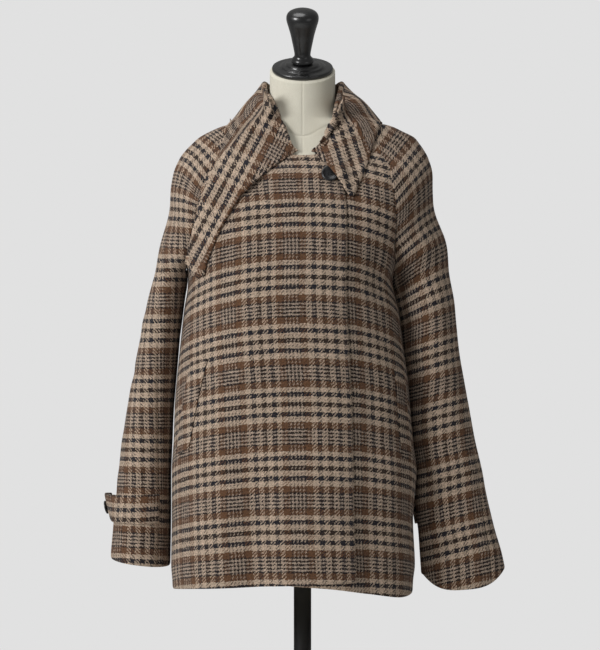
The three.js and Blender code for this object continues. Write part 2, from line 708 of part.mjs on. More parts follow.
// How far a point is off the coat's outer faces, and the way out
function offCoat(point) {
  const place = new THREE.Vector3();
  const nearest = new THREE.Vector3();
  const normal = new THREE.Vector3();
  let best = Infinity;
  for (const face of outerFaces) {
    if (face.centre.distanceTo(point) > best + face.size) continue;
    face.triangle.closestPointToPoint(point, place);
    const away = place.distanceTo(point);
    if (away < best) {
      best = away;
      nearest.copy(place);
      face.triangle.getNormal(normal);
    }
  }
  const off = point.clone().sub(nearest);
  const outside = off.dot(normal) > 0;
  return { off: outside ? best : -best, way: outside && best > 0.5 ? off.normalize() : normal };
}

// Pushes the leaf's points off the coat, then its cells' middles
function clearOfCoat(grid, firstRow, atPoints, atMiddles) {
  grid.forEach((row, i) => row.forEach((point) => {
    if (i < firstRow) return;
    const { off, way } = offCoat(point);
    if (off < atPoints) point.addScaledVector(way, atPoints - off);
  }));
  for (let pass = 0; pass < 4; pass += 1) {
    for (let i = firstRow; i < grid.length - 1; i += 1) {
      for (let j = 0; j < grid[0].length - 1; j += 1) {
        const corners = [grid[i][j], grid[i][j + 1], grid[i + 1][j], grid[i + 1][j + 1]];
        for (const [a, b] of [[0, 1], [0, 2], [1, 3], [2, 3], [0, 3], [1, 2]]) {
          const { off, way } = offCoat(corners[a].clone().lerp(corners[b], 0.5));
          if (off >= atMiddles) continue;
          corners[a].addScaledVector(way, atMiddles - off);
          corners[b].addScaledVector(way, atMiddles - off);
        }
      }
    }
  }
  return grid;
}

function collarGrid() {
  const keys = [];
  const turns = [...LEAF_LEFT, ...LEAF_BACK, ...LEAF_RIGHT.slice().reverse()]
    .map(([turn]) => [turn < 0 ? turn + 360 : turn]);
  for (const [turn, fold, a, b, c, off] of LEAF_LEFT) keys.push(leafColumn(turn, fold, [a, b, c], off));
  for (const [turn, fold, a, b, c] of LEAF_BACK) keys.push(leafColumn(turn, fold, [a, b, c], 0));
  for (const [turn, fold, a, b, c, off] of LEAF_RIGHT.slice().reverse()) {
    keys.push(leafColumn(turn, fold, [a, b, c], off));
  }
  const steps = [];
  for (let k = 0; k < keys.length - 1; k += 1) {
    const parts = k < LEAF_LEFT.length + LEAF_BACK.length - 1 ? 2 : 3;
    for (let part = 0; part < parts; part += 1) steps.push(k + part / parts);
  }
  steps.push(keys.length - 1);
  const grid = keys[0].map((point, i) => {
    const line = keys.map((column) => column[i].toArray());
    return steps.map((t) => (i === 0 ? standBase(spline(turns, t)[0]) : new THREE.Vector3(...spline(line, t))));
  });
  return clearOfCoat(grid, 5, CLOTH + 1.2, CLOTH + 1);
}

const collar = wall('collar', withDirections(collarGrid()), CLOTH, coatCloth, true);
group.add(collar);

// Cuff straps. They start on the arm's outer side and go round it, and stand off the sleeve at the far end, by
// standOff at their top edge and by a share of it at their bottom edge
const STRAPS = {
  right: { from: 0.142, to: 0.58, top: [16.08, 16.3], bottom: [17.5, 17.55], standOff: 17, below: 0.12 },
  left: { from: 0.54, to: 0.95, top: [16.35, 16.3], bottom: [17.7, 17.65], standOff: 5, below: 1 },
};
const STRAP_COLUMNS = 14;
const STRAP_BUTTON = 0.87;

function strapPlace(side, u, v) {
  const strap = STRAPS[side];
  const share = lerp(strap.from, strap.to, u);
  const step = lerp(lerp(...strap.top, u), lerp(...strap.bottom, u), v);
  const place = sleevePoint(side, step, share);
  const over = sleevePoint(side, step, share + 0.01).sub(sleevePoint(side, step, share - 0.01));
  const down = sleevePoint(side, step + 0.05, share).sub(sleevePoint(side, step - 0.05, share));
  const normal = over.cross(down).normalize().multiplyScalar(side === 'left' ? -1 : 1);
  const loose = clamp((u - 0.5) / 0.32, 0, 1) ** 2 * lerp(1, strap.below, v);
  const off = STRAP_GAP + STRAP_THICK + strap.standOff * loose;
  return { point: place.clone().addScaledVector(normal, off), normal };
}

// A turned solid on an axis: radius and height pairs from the axis at the bottom to the axis at the top
function turned(name, profile, segments, material, centre, axis, note = false) {
  const turn = new THREE.Quaternion().setFromUnitVectors(new THREE.Vector3(0, 0, 1), axis.clone().normalize());
  const points = [];
  const triangles = [];
  const ring = [];
  for (const [radius, height] of profile) {
    ring.push(points.length);
    const count = radius > 0 ? segments : 1;
    for (let k = 0; k < count; k += 1) {
      const angle = 2 * Math.PI * k / segments;
      points.push(new THREE.Vector3(radius * Math.cos(angle), radius * Math.sin(angle), height)
        .applyQuaternion(turn).add(centre));
    }
  }
  for (let i = 0; i < profile.length - 1; i += 1) {
    for (let k = 0; k < segments; k += 1) {
      const l = (k + 1) % segments;
      const [a, b] = [ring[i], ring[i + 1]];
      if (profile[i][0] > 0) triangles.push(a + k, a + l, b + (profile[i + 1][0] > 0 ? l : 0));
      if (profile[i + 1][0] > 0) triangles.push((profile[i][0] > 0 ? a + k : a), b + l, b + k);
    }
  }
  if (note) {
    for (let t = 0; t < triangles.length; t += 3) {
      const triangle = new THREE.Triangle(...[0, 1, 2].map((k) => points[triangles[t + k]]));
      const centreOf = triangle.getMidpoint(new THREE.Vector3());
      outerFaces.push({ triangle, centre: centreOf, size: triangle.a.distanceTo(centreOf) + 2 * BUTTON_THICK });
    }
  }
  return mesh(name, points, triangles, material);
}

function button(name, radius, thick, centre, axis, note = false) {
  const r = radius;
  const t = thick;
  return turned(name, [[0, 0], [r * 0.7, 0], [r * 0.97, t * 0.3], [r, t * 0.62], [r * 0.86, t],
    [r * 0.7, t * 0.92], [r * 0.5, t * 0.6], [0, t * 0.5]], 16, blackHorn, centre, axis, note);
}

for (const side of ['right', 'left']) {
  const grid = [];
  for (let i = 0; i <= 3; i += 1) {
    const row = [];
    for (let j = 0; j <= STRAP_COLUMNS; j += 1) row.push(strapPlace(side, j / STRAP_COLUMNS, i / 3).point);
    grid.push(row);
  }
  group.add(wall(`cuff_strap_${side}`, withDirections(grid), STRAP_THICK, coatCloth, side === 'left'));
  const { point } = strapPlace(side, STRAP_BUTTON, 0.5);
  const over = strapPlace(side, STRAP_BUTTON + 0.03, 0.5).point
    .sub(strapPlace(side, STRAP_BUTTON - 0.03, 0.5).point);
  const down = strapPlace(side, STRAP_BUTTON, 0.6).point
    .sub(strapPlace(side, STRAP_BUTTON, 0.4).point);
  const axis = over.cross(down).normalize().multiplyScalar(side === 'left' ? -1 : 1);
  group.add(button(`cuff_button_${side}`, CUFF_BUTTON_RADIUS, 3.6, point.addScaledVector(axis, 0.7), axis));
}

// Slanting pocket welts: front edge at the top and at the bottom in the front view
const WELTS = {
  right: [[209, 359], [189.5, 452]],
  left: [[393, 368], [402, 458]],
};
for (const side of ['right', 'left']) {
  const [top, bottom] = WELTS[side].map(([right, down]) => onFront(right, down));
  const across = deg(WELT_WIDTH / 175) * sign[side];
  const grid = [];
  for (let i = 0; i <= 9; i += 1) {
    const row = [];
    for (let j = 0; j <= 4; j += 1) {
      const point = bodyPoint(lerp(top[0], bottom[0], i / 9) + across * j / 4,
        lerp(top[1], bottom[1], i / 9) - 4 * j / 4, WELT_THICK);
      const { off, way } = offCoat(point);
      row.push(point.addScaledVector(way, WELT_THICK + WELT_GAP - off));
    }
    grid.push(row);
  }
  group.add(wall(`pocket_welt_${side}`, withDirections(grid), WELT_THICK, coatCloth, side === 'left'));
}

// The form: half width, front and back depth over the height
const FORM_RINGS = [
  [735, 160, 114, 120],
  [800, 168, 118, 126],
  [860, 164, 115, 120],
  [940, 146, 102, 100],
  [1010, 126, 92, 86],
  [1080, 130, 100, 90],
  [1154, 135, 114, 100],
  [1200, 140, 118, 102],
  [1250, 146, 108, 101],
  [1300, 152, 94, 97],
  [1340, 160, 78, 91],
  [1360, 165, 64, 86],
  [1376, 167, 57, 79],
  [1390, 160, 52, 71],
  [1400, 146, 50.5, 67],
  [1410, 118, 49.5, 62],
  [1416, 80, 49.2, 60],
  [1421, 62, 49, 59],
  [1430, 56.5, 49, 57.5],
  [1445, 54, 49, 56.5],
  [1500, 53.5, 49, 56],
];
const formHalf = tableCurve(FORM_RINGS, 0, 1);
const formFront = tableCurve(FORM_RINGS, 0, 2);
const formBack = tableCurve(FORM_RINGS, 0, 3);
const FORM_DROP = 3.6;
const FORM_EASE = 3;
const FORM_HEIGHTS = [735, 780, 825, 870, 915, 960, 1010, 1060, 1105, 1150, 1190, 1230, 1265, 1295, 1322,
  1345, 1365, 1380, 1391, 1400, 1407, 1412.5, 1417.5, 1424, 1434, 1455, 1477, NECK_TOP];
const FORM_COLUMNS = 30;

function formPoint(turnDegrees, height) {
  const turn = rad(turnDegrees);
  const neck = soft(height, 1421, 1428);
  const room = (curve) => curve(height + FORM_DROP) - FORM_EASE + neck * 200;
  const half = Math.min(formHalf(height), room(coatLeft), room(coatRight));
  const front = Math.min(formFront(height), room(coatFront));
  const behind = Math.min(formBack(height), room(coatBack));
  const power = lerp(ROUND_POWER, 2, soft(height, 1400, 1440));
  const radius = ringRadius(turn, half, half, front, behind, power);
  const point = new THREE.Vector3(radius * Math.sin(turn), -radius * Math.cos(turn), height);
  point.z += point.y * Math.tan(rad(NECK_TILT)) * soft(height, 1428, NECK_TOP);
  return point;
}

{
  const points = [];
  const triangles = [];
  for (const height of FORM_HEIGHTS) {
    for (let j = 0; j < FORM_COLUMNS; j += 1) points.push(formPoint(360 * j / FORM_COLUMNS, height));
  }
  const last = FORM_HEIGHTS.length - 1;
  points.push(new THREE.Vector3(0, 0, FORM_HEIGHTS[0]));
  points.push(new THREE.Vector3(0, 3.5, NECK_TOP + 3.5 * Math.tan(rad(NECK_TILT))));
  for (let j = 0; j < FORM_COLUMNS; j += 1) {
    const k = (j + 1) % FORM_COLUMNS;
    for (let i = 0; i < last; i += 1) {
      const [a, b] = [i * FORM_COLUMNS, (i + 1) * FORM_COLUMNS];
      triangles.push(a + j, a + k, b + k, a + j, b + k, b + j);
    }
    triangles.push(points.length - 2, k, j);
    triangles.push(points.length - 1, last * FORM_COLUMNS + j, last * FORM_COLUMNS + k);
  }
  group.add(mesh('form', points, triangles, formCloth));
}

const up = new THREE.Vector3(0, 0, 1);
const neckAxis = new THREE.Vector3(0, -Math.sin(rad(NECK_TILT)), Math.cos(rad(NECK_TILT)));
const neckTop = new THREE.Vector3(0, 3.5, NECK_TOP + 3.5 * Math.tan(rad(NECK_TILT))).addScaledVector(neckAxis, SEAM_GAP);
const CAP_PROFILE = [[0, 0], [49, 0], [50, 1.2], [50, 5], [48.5, 6.5], [36, 6.8], [35, 9.4], [28, 9.8], [27, 12.5],
  [0, 12.5]];
const KNOB_PROFILE = [[0, 0], [15, 0], [18.4, 3.6], [17.4, 8], [14, 11.5], [13.2, 14], [15.2, 27], [19.5, 50],
  [25.6, 72], [26.4, 77], [25, 83], [19, 88.5], [9, 91.5], [0, 92.5]];
group.add(turned('neck_cap', CAP_PROFILE, 24, blackLacquer, neckTop, neckAxis));
group.add(turned('knob', KNOB_PROFILE, 18, blackLacquer,
  neckTop.clone().addScaledVector(neckAxis, 12.5 + SEAM_GAP), neckAxis));
const POST_TOP = FORM_BOTTOM - SEAM_GAP;
group.add(turned('post', [[0, BASE_THICK + SEAM_GAP], [30, BASE_THICK + SEAM_GAP], [30, BASE_THICK + 14],
  [26, BASE_THICK + 18], [POST_RADIUS, BASE_THICK + 20], [POST_RADIUS, POST_TOP], [0, POST_TOP]], 22, steel,
new THREE.Vector3(), up));
group.add(turned('base_plate', [[0, 0], [BASE_RADIUS, 0], [BASE_RADIUS, BASE_THICK - 3],
  [BASE_RADIUS - 3, BASE_THICK], [0, BASE_THICK]], 40, steel, new THREE.Vector3(), up));

export default group;
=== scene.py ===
"""Short coat on a dress form: cloth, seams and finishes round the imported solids.

Metres in Blender, but the coat's own tables are in millimetres, as it was drawn. Z is up, the front faces -Y.
"""
import math
import bpy
import numpy as np
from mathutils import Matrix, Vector
from mathutils.bvhtree import BVHTree


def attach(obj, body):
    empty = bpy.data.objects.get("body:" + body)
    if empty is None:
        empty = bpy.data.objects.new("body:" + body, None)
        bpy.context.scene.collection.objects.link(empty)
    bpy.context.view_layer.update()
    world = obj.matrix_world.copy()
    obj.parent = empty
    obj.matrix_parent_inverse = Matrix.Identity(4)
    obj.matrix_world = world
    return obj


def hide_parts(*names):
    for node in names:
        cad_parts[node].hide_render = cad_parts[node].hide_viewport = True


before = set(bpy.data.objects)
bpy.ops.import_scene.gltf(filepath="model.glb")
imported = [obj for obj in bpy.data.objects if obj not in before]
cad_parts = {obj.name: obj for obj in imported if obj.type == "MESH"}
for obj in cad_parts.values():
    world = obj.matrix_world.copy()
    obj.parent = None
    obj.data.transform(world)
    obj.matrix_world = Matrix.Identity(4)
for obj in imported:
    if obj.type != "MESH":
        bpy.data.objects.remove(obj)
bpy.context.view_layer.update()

MM = 0.001
CLOTH = 2.5
SEAM_GAP = 0.3
LAP_LIFT = 4.2
LAP_CHECK_FROM = -9             # where the overlapping front's checks step sideways, mm from the front middle
LAP_CHECK_STEP = 13.8
LEFT_SLEEVE_LEAN = 3.4          # how far the left sleeve's inner edge leans to the body at the underarm
ROUND_POWER = 2.35
WELT_THICK = 2.0
WELT_WIDTH = 34
WELT_GAP = 0.7
STRAP_THICK = 2.4
STRAP_GAP = 0.8
STAND_GAP = 3
UNDERARM = 8
RAGLAN_ROWS = 14
SIDE_ROWS = 10
PANEL_ROWS = RAGLAN_ROWS + SIDE_ROWS
GRID = 3.6                      # size of a cell of the cloth meshes, mm

# The front view that the outline is drawn in: units right and down from its corner
UNIT = 1.64
EYE = np.array([-4.1, -4200.0, 1083.4])
VIEW_CENTRE = (300.0, 325.0)

SIGN = {"right": -1, "left": 1}


# ---------------------------------------------------------------- drawing helpers

def seen(right, down, y):
    """Places behind places of the front view, at depth y."""
    right, down, y = np.broadcast_arrays(np.asarray(right, float), down, y)
    scale = UNIT * (y - EYE[1]) / -EYE[1]
    return np.stack([EYE[0] + (right - VIEW_CENTRE[0]) * scale, y,
                     EYE[2] - (down - VIEW_CENTRE[1]) * scale], -1)


def in_view(points):
    """Where points are seen in the front view: right, down."""
    scale = UNIT * (points[..., 1] - EYE[1]) / -EYE[1]
    return (VIEW_CENTRE[0] + (points[..., 0] - EYE[0]) / scale,
            VIEW_CENTRE[1] - (points[..., 2] - EYE[2]) / scale)


def table_curve(table, value=1):
    """A smooth curve through a table's column that never runs past its values."""
    rows = sorted(table, key=lambda row: row[0])
    keys = np.array([row[0] for row in rows], float)
    values = np.array([row[value] for row in rows], float)
    steps = np.diff(values) / np.diff(keys)
    slopes = np.concatenate([steps[:1], np.zeros(len(keys) - 2), steps[-1:]])
    before, after = steps[:-1], steps[1:]
    agree = before * after > 0
    slopes[1:-1][agree] = 2 * (before * after)[agree] / (before + after)[agree]

    def at(key):
        key = np.clip(key, keys[0], keys[-1])
        i = np.clip(np.searchsorted(keys, key) - 1, 0, len(keys) - 2)
        width = keys[i + 1] - keys[i]
        t = (key - keys[i]) / width
        bend = t * t * (3 - 2 * t)
        rise = (t ** 3 - 2 * t * t + t) * width * slopes[i]
        fall = (t ** 3 - t * t) * width * slopes[i + 1]
        return values[i] + bend * (values[i + 1] - values[i]) + rise + fall

    return at


def spline(points, t):
    """Points on a smooth curve through a row of points, t in steps along the row."""
    points = np.asarray(points, float)
    last = len(points) - 1
    t = np.asarray(t, float)
    i = np.clip(np.floor(t).astype(int), 0, last - 1)
    f = (t - i)[..., None]
    p0, p1 = points[np.maximum(i - 1, 0)], points[i]
    p2, p3 = points[i + 1], points[np.minimum(i + 2, last)]
    a = np.where(i == 0, 1, 0.5)[..., None] * (p2 - p0)
    b = np.where(i == last - 1, 1, 0.5)[..., None] * (p3 - p1)
    d = p2 - p1
    return p1 + f * (a + f * (3 * d - 2 * a - b + f * (a + b - 2 * d)))


def lerp(a, b, t):
    return a + (b - a) * t


def soft(value, start, end):
    t = np.clip((value - start) / (end - start), 0, 1)
    return t * t * (3 - 2 * t)


def unit(vectors):
    return vectors / np.maximum(np.linalg.norm(vectors, axis=-1, keepdims=True), 1e-9)


def shares(length, cell=GRID):
    """Shares from 0 to 1 along a length: even cells, with closer ones at both ends for rounded edges."""
    near = np.array([0, 0.9, 2.0, 3.6, 6.0]) / length
    count = max(int(round((1 - 2 * near[-1]) * length / cell)), 2)
    middle = np.linspace(near[-1], 1 - near[-1], count + 1)[1:-1]
    return np.concatenate([near, middle, 1 - near[::-1]])


def run_lengths(points, axis):
    """Length along a grid from its first row or column."""
    steps = np.linalg.norm(np.diff(points, axis=axis), axis=-1)
    pad = [(0, 0), (0, 0)]
    pad[axis] = (1, 0)
    return np.pad(np.cumsum(steps, axis=axis), pad)


# ---------------------------------------------------------------- form of the coat's body

# Rings: height, left and right half widths, front and back depths
COAT_RINGS = [
    (640, 212, 180, 166, 184), (665, 213, 181, 165, 183), (693, 215, 184, 163, 180), (764, 214, 181, 159, 172),
    (796, 214, 183, 158, 168), (846, 214, 187, 155, 160), (895, 211, 181, 152, 153), (955, 209, 176, 149, 144),
    (993, 206, 173, 147, 138), (1042, 201, 166, 144, 132), (1106, 194, 158, 140, 126),
    (1154, 187.5, 147.5, 137, 122), (1190, 196, 159, 134, 120), (1223, 203, 171, 129, 118),
    (1269, 211, 192, 118, 114), (1300, 216, 207, 107, 109), (1330, 212, 213, 93, 102), (1357, 201, 206, 72, 92),
    (1370, 191, 199, 63, 86), (1380, 181, 192, 59, 81), (1390, 170, 184, 56, 76), (1400, 152, 165, 54, 71),
    (1410, 127, 142, 53, 67), (1416, 98, 104, 52, 65), (1421, 70, 70, 51, 63),
]
coat_left, coat_right, coat_front, coat_back = (table_curve(COAT_RINGS, k) for k in (1, 2, 3, 4))

# Soft folds of the body: turn at the top and at the hem, height where it starts, depth, half width in degrees
BODY_FOLDS = [
    (-39, -24, 1060, -15, 11), (-56, -52, 1150, 5, 13), (-8, -3, 900, 3, 15), (41, 38, 1270, -7, 9),
    (62, 58, 1120, 5, 13), (118, 112, 1150, -9, 13), (146, 140, 1180, 7, 13), (172, 168, 1190, -9, 12),
    (198, 200, 1180, 7, 13), (226, 228, 1150, -10, 14),
]


def ring_radius(turn, left, right, front, back, power=ROUND_POWER):
    across = np.abs(np.sin(turn)) / np.where(np.sin(turn) < 0, left, right)
    along = np.abs(np.cos(turn)) / np.where(np.cos(turn) < 0, back, front)
    return (across ** power + along ** power) ** (-1 / power)


def fold_depth(turn, height):
    total = 0
    for at_top, at_hem, start, depth, width in BODY_FOLDS:
        down = np.clip((start - height) / (start - 650), 0, 1)
        away = (turn - lerp(at_top, at_hem, down) + 540) % 360 - 180
        total = total + depth * down ** 1.3 * np.exp(-(away / width) ** 2)
    return total


def body_point(turn, height, lift=0):
    """A point of the coat's body: turn in degrees from the front towards +X, height, and lift off the cloth."""
    turn, height = np.broadcast_arrays(np.asarray(turn, float), np.asarray(height, float))
    angle = np.radians(turn)
    radius = ring_radius(angle, coat_left(height), coat_right(height), coat_front(height), coat_back(height))
    radius = radius + fold_depth(turn, height) + lift
    return np.stack([radius * np.sin(angle), -radius * np.cos(angle), height], -1)


def on_front(right, down):
    """Turn and height of the place on the body's front that is seen at a place of the front view."""
    y = -100.0
    for _ in range(30):
        x, _y, z = seen(right, down, y)
        half = coat_left(z) if x < 0 else coat_right(z)
        share = min(abs(x) / half, 1) ** ROUND_POWER
        y = lerp(y, -coat_front(z) * (1 - share) ** (1 / ROUND_POWER), 0.6)
        x, _y, z = seen(right, down, y)
    return math.degrees(math.atan2(x, -y)), float(z)


# Front raglan seams in the front view, from the neck to the underarm
RAGLAN_SEEN = {
    "right": [(270, 131), (250, 139), (230, 149), (215, 163), (203, 184), (196, 209), (191, 234), (188.6, 259),
              (188.2, 282)],
    "left": [(335, 129), (355, 139), (374, 149), (386, 159), (392, 180), (396, 205), (397, 229), (395.6, 255),
             (392.3, 282)],
}
# Back raglan seams, drawn for +X: turn and height
RAGLAN_BACK = [(142, 1413), (134, 1397), (127, 1377), (121, 1350), (115, 1316), (110, 1276), (104, 1232),
               (97, 1190), (90, 1154)]
# Height of the neckline over the turn
NECKLINE = [(0, 1358), (14, 1359), (30, 1375), (46, 1404), (66, 1414), (90, 1419), (120, 1415), (142, 1413),
            (180, 1411)]
neckline_height = table_curve(NECKLINE)


def neckline(turn):
    return neckline_height(np.abs((turn + 540) % 360 - 180))


front_seam, back_seam = {}, {}
for side, way in SIGN.items():
    places = [on_front(*place) for place in RAGLAN_SEEN[side]]
    places[UNDERARM] = (90 * way, 1154)
    places[0] = (places[0][0], float(neckline(places[0][0])))
    front_seam[side] = np.array(places)
    back_seam[side] = np.array([(turn * way, height) for turn, height in RAGLAN_BACK], float)

# Hem heights over the turn, and the turn of the front edges over the height
HEM_RIGHT = table_curve([(-90, 652), (-72, 658), (-50, 665), (-20, 671), (0, 674), (40, 677)])
HEM_LEFT = table_curve([(-45, 680), (0, 671), (16, 667), (38, 657), (60, 648), (80, 648), (90, 652)])
HEM_BACK = table_curve([(90, 652), (130, 650), (180, 648), (230, 650), (270, 652)])
EDGE_RIGHT = table_curve([(1404, 45), (1359, 38.8), (1298, 32), (1200, 29), (1124, 27.8), (1044, 28.2),
                          (965, 28.9), (806, 28.6), (677, 29.2)])
EDGE_LEFT = table_curve([(1404, -40), (1305, -32), (1124, -28), (928, -28), (677, -26)])


# ---------------------------------------------------------------- cloth coordinates of the body

# Length round the body from the front centre, worked out once over turn and height
ROUND_TURNS = np.arange(-186, 367, 1.5)
ROUND_HEIGHTS = np.arange(636, 1428, 6.0)
_ring = body_point(ROUND_TURNS[None, :], np.clip(ROUND_HEIGHTS[:, None], 640, 1421))
_ring[..., 2] = 0
ROUND_LENGTHS = run_lengths(_ring, 1)
ROUND_LENGTHS -= ROUND_LENGTHS[:, [np.argmin(np.abs(ROUND_TURNS))]]


def grid_lookup(table, row_keys, column_keys, row_key, column_key):
    row = np.clip((row_key - row_keys[0]) / (row_keys[1] - row_keys[0]), 0, len(row_keys) - 1.001)
    column = np.clip((column_key - column_keys[0]) / (column_keys[1] - column_keys[0]), 0,
                     len(column_keys) - 1.001)
    i, j = row.astype(int), column.astype(int)
    f, g = row - i, column - j
    return ((table[i, j] * (1 - g) + table[i, j + 1] * g) * (1 - f)
            + (table[i + 1, j] * (1 - g) + table[i + 1, j + 1] * g) * f)


def round_body(turn, height):
    return grid_lookup(ROUND_LENGTHS, ROUND_HEIGHTS, ROUND_TURNS, height, turn)


def profile_length(depth):
    heights = np.arange(640, 1425, 2.0)
    rises = np.hypot(np.diff(heights), np.diff(depth(heights)))
    lengths = np.concatenate([[0], np.cumsum(rises)])
    return lambda height: np.interp(height, heights, lengths)


down_front, down_back = profile_length(coat_front), profile_length(coat_back)

# How fast the weft droops away from the middle: height and millimetres per square metre of way round
DROOP = {
    "right": table_curve([(650, 330), (900, 560), (1060, 700), (1150, 850), (1420, 850)]),
    "left": table_curve([(650, 380), (900, 700), (1060, 950), (1150, 1150), (1420, 1150)]),
    "back": table_curve([(650, 300), (900, 450), (1150, 600), (1420, 600)]),
}
# Shift of the checks: across and along, mm
CHECK_SHIFT = {
    "front_right": (-3, 46), "front_left": (6, 42), "back": (20, 56),
    "sleeve_right_front": (10, 0), "sleeve_right_back": (34, 0),
    "sleeve_left_front": (18, 0), "sleeve_left_back": (52, 0),
    "collar": (0, 0), "cuff_strap_right": (0, 0), "cuff_strap_left": (0, 0),
    "pocket_welt_right": (9, 60), "pocket_welt_left": (12, 60),
}


def body_cloth(piece, turn, height):
    """Across and along the cloth of a body panel."""
    if piece == "back":
        middle = round_body(turn, height) - round_body(turn * 0 + 180, height)
        along = down_back(height) + DROOP["back"](height) * (middle * MM) ** 2
        return middle, along
    middle = round_body(turn, height)
    across = middle - round_body(EDGE_RIGHT(height), height)
    along = down_front(height) + DROOP[piece[6:]](height) * (middle * MM) ** 2
    return across, along


# ---------------------------------------------------------------- building cloth

def normals_of(grid, flip):
    down = np.gradient(grid, axis=0)
    over = np.gradient(grid, axis=1)
    return unit(np.cross(over, down)) * (-1 if flip else 1)


def edge_distances(grid):
    """Millimetres from each border of a grid: first column, last column, top row, bottom row."""
    across = run_lengths(grid, 1)
    along = run_lengths(grid, 0)
    return across, across[:, -1:] - across, along, along[-1:, :] - along


def rolled(grid, normals, edges):
    """Sinks the cloth beside its borders: a seam is a soft valley, a free edge is rounded off."""
    sink = np.zeros(grid.shape[:2])
    for distance, kind in zip(edge_distances(grid), edges):
        if kind == "seam":
            sink = np.maximum(sink, 1.25 * np.exp(-(distance / 3.2) ** 2))
            sink = sink - 0.35 * np.exp(-((distance - 9) / 4.5) ** 2)
        elif kind == "flat seam":
            sink = np.maximum(sink, 0.5 * np.exp(-(distance / 2.2) ** 2))
        elif kind == "edge":
            sink = np.maximum(sink, 0.85 * np.exp(-(distance / 1.7) ** 2))
        elif kind == "lap edge":
            sink = np.maximum(sink, 1.6 * np.exp(-(distance / 2.4) ** 2))
            sink = sink + 1.3 * np.exp(-((distance - 11) / 2.4) ** 2) - 0.9 * np.exp(-((distance - 5.5) / 3.4) ** 2)
        elif kind == "thick edge":
            sink = np.maximum(sink, 1.7 * np.exp(-(distance / 3.0) ** 2))
    return grid - normals * sink[..., None]


def creased(grid, normals, creases, across, along):
    """Adds soft troughs and ridges: each runs from one place of the cloth to another."""
    fade = np.ones(grid.shape[:2])
    for distance in edge_distances(grid):
        fade = fade * (1 - np.exp(-((distance + 1) / 16) ** 2))
    depth = np.zeros(grid.shape[:2])
    for a0, b0, a1, b1, width, rise in creases:
        length = math.hypot(a1 - a0, b1 - b0)
        ax, ay = (a1 - a0) / length, (b1 - b0) / length
        run = (across - a0) * ax + (along - b0) * ay
        off = (along - b0) * ax - (across - a0) * ay
        off = off + 0.12 * width * np.sin(run / 17.0)
        share = np.clip(run / length, 0, 1)
        past = np.maximum(np.maximum(-run, run - length), 0)
        taper = np.sin(np.pi * np.clip(share * 0.86 + 0.07, 0, 1)) ** 0.8 * np.exp(-(past / width) ** 2)
        depth = depth + rise * taper * np.exp(-(off / width) ** 2)
    return grid + normals * (depth * fade)[..., None]


def trimmed(grid, first=0, last=0, top=0):
    """Draws borders back from a seam."""
    grid = grid.copy()
    if first:
        grid[:, 0] += unit(grid[:, 2] - grid[:, 0]) * first
    if last:
        grid[:, -1] += unit(grid[:, -3] - grid[:, -1]) * last
    if top:
        grid[0] += unit(grid[2] - grid[0]) * top
    return grid


node_of = {}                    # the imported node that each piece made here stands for


def mesh_object(node, points, faces, material, uv=None):
    name = node + "_" + material.name
    mesh = bpy.data.meshes.new(name)
    mesh.from_pydata((np.asarray(points) * MM).tolist(), [], faces)
    mesh.update()
    if uv is not None:
        layer = mesh.uv_layers.new(name="cloth")
        corners = np.empty(len(mesh.loops), dtype=np.int32)
        mesh.loops.foreach_get("vertex_index", corners)
        layer.data.foreach_set("uv", (np.asarray(uv)[corners] * MM).astype(np.float32).ravel())
    mesh.polygons.foreach_set("use_smooth", [True] * len(mesh.polygons))
    mesh.materials.append(material)
    piece = bpy.data.objects.new(name, mesh)
    bpy.context.collection.objects.link(piece)
    node_of[piece] = node
    return piece


def cloth_shell(name, outer, inner, cloth, material, flip, rim=0.9):
    """A closed shell between an outer and an inner grid, with a rounded rim. Returns the object."""
    rows, columns = outer.shape[:2]
    count = rows * columns
    index = np.arange(count).reshape(rows, columns)
    quads = np.stack([index[:-1, :-1], index[:-1, 1:], index[1:, 1:], index[1:, :-1]], -1).reshape(-1, 4)
    border = np.concatenate([index[0, :-1], index[:-1, -1], index[-1, :0:-1], index[:0:-1, 0]])
    flat_outer, flat_inner = outer.reshape(-1, 3), inner.reshape(-1, 3)
    inward = np.concatenate([index[1, :-1], index[:-1, -2], index[-2, :0:-1], index[:0:-1, 1]])
    way = unit(flat_outer[border] - flat_outer[inward])
    middle = (flat_outer[border] + flat_inner[border]) / 2 + way * rim
    edge = 2 * count + np.arange(len(border))
    after = np.roll(np.arange(len(border)), -1)
    faces_out = quads if not flip else quads[:, ::-1]
    faces_in = (quads + count)[:, ::-1] if not flip else quads + count
    rims = []
    for a, b in ((border, edge), (edge, border + count)):
        strip = np.stack([a, b, b[after], a[after]], -1)
        rims.append(strip if not flip else strip[:, ::-1])
    faces = np.concatenate([faces_out, faces_in, *rims])
    points = np.concatenate([flat_outer, flat_inner, middle])
    flat_cloth = cloth.reshape(-1, 2)
    uv = np.concatenate([flat_cloth, flat_cloth, flat_cloth[border]])
    return mesh_object(name, points, faces.tolist(), material, uv)


CUT_WIDTHS = {"collar": 0.7}    # widths in metres that are stated, not measured


laid_faces = {}                 # outer faces of the cloth made so far, for what lies on it


def note_faces(name, grid, flip):
    rows, columns = grid.shape[:2]
    index = np.arange(rows * columns).reshape(rows, columns)
    quads = np.stack([index[:-1, :-1], index[:-1, 1:], index[1:, 1:], index[1:, :-1]], -1).reshape(-1, 4)
    laid_faces[name] = (grid.reshape(-1, 3), quads[:, ::-1] if flip else quads)


def faces_tree(*names):
    points, faces, base = [], [], 0
    for name in names:
        spots, quads = laid_faces[name]
        points += spots.tolist()
        faces += (quads + base).tolist()
        base += len(spots)
    return BVHTree.FromPolygons(points, faces)


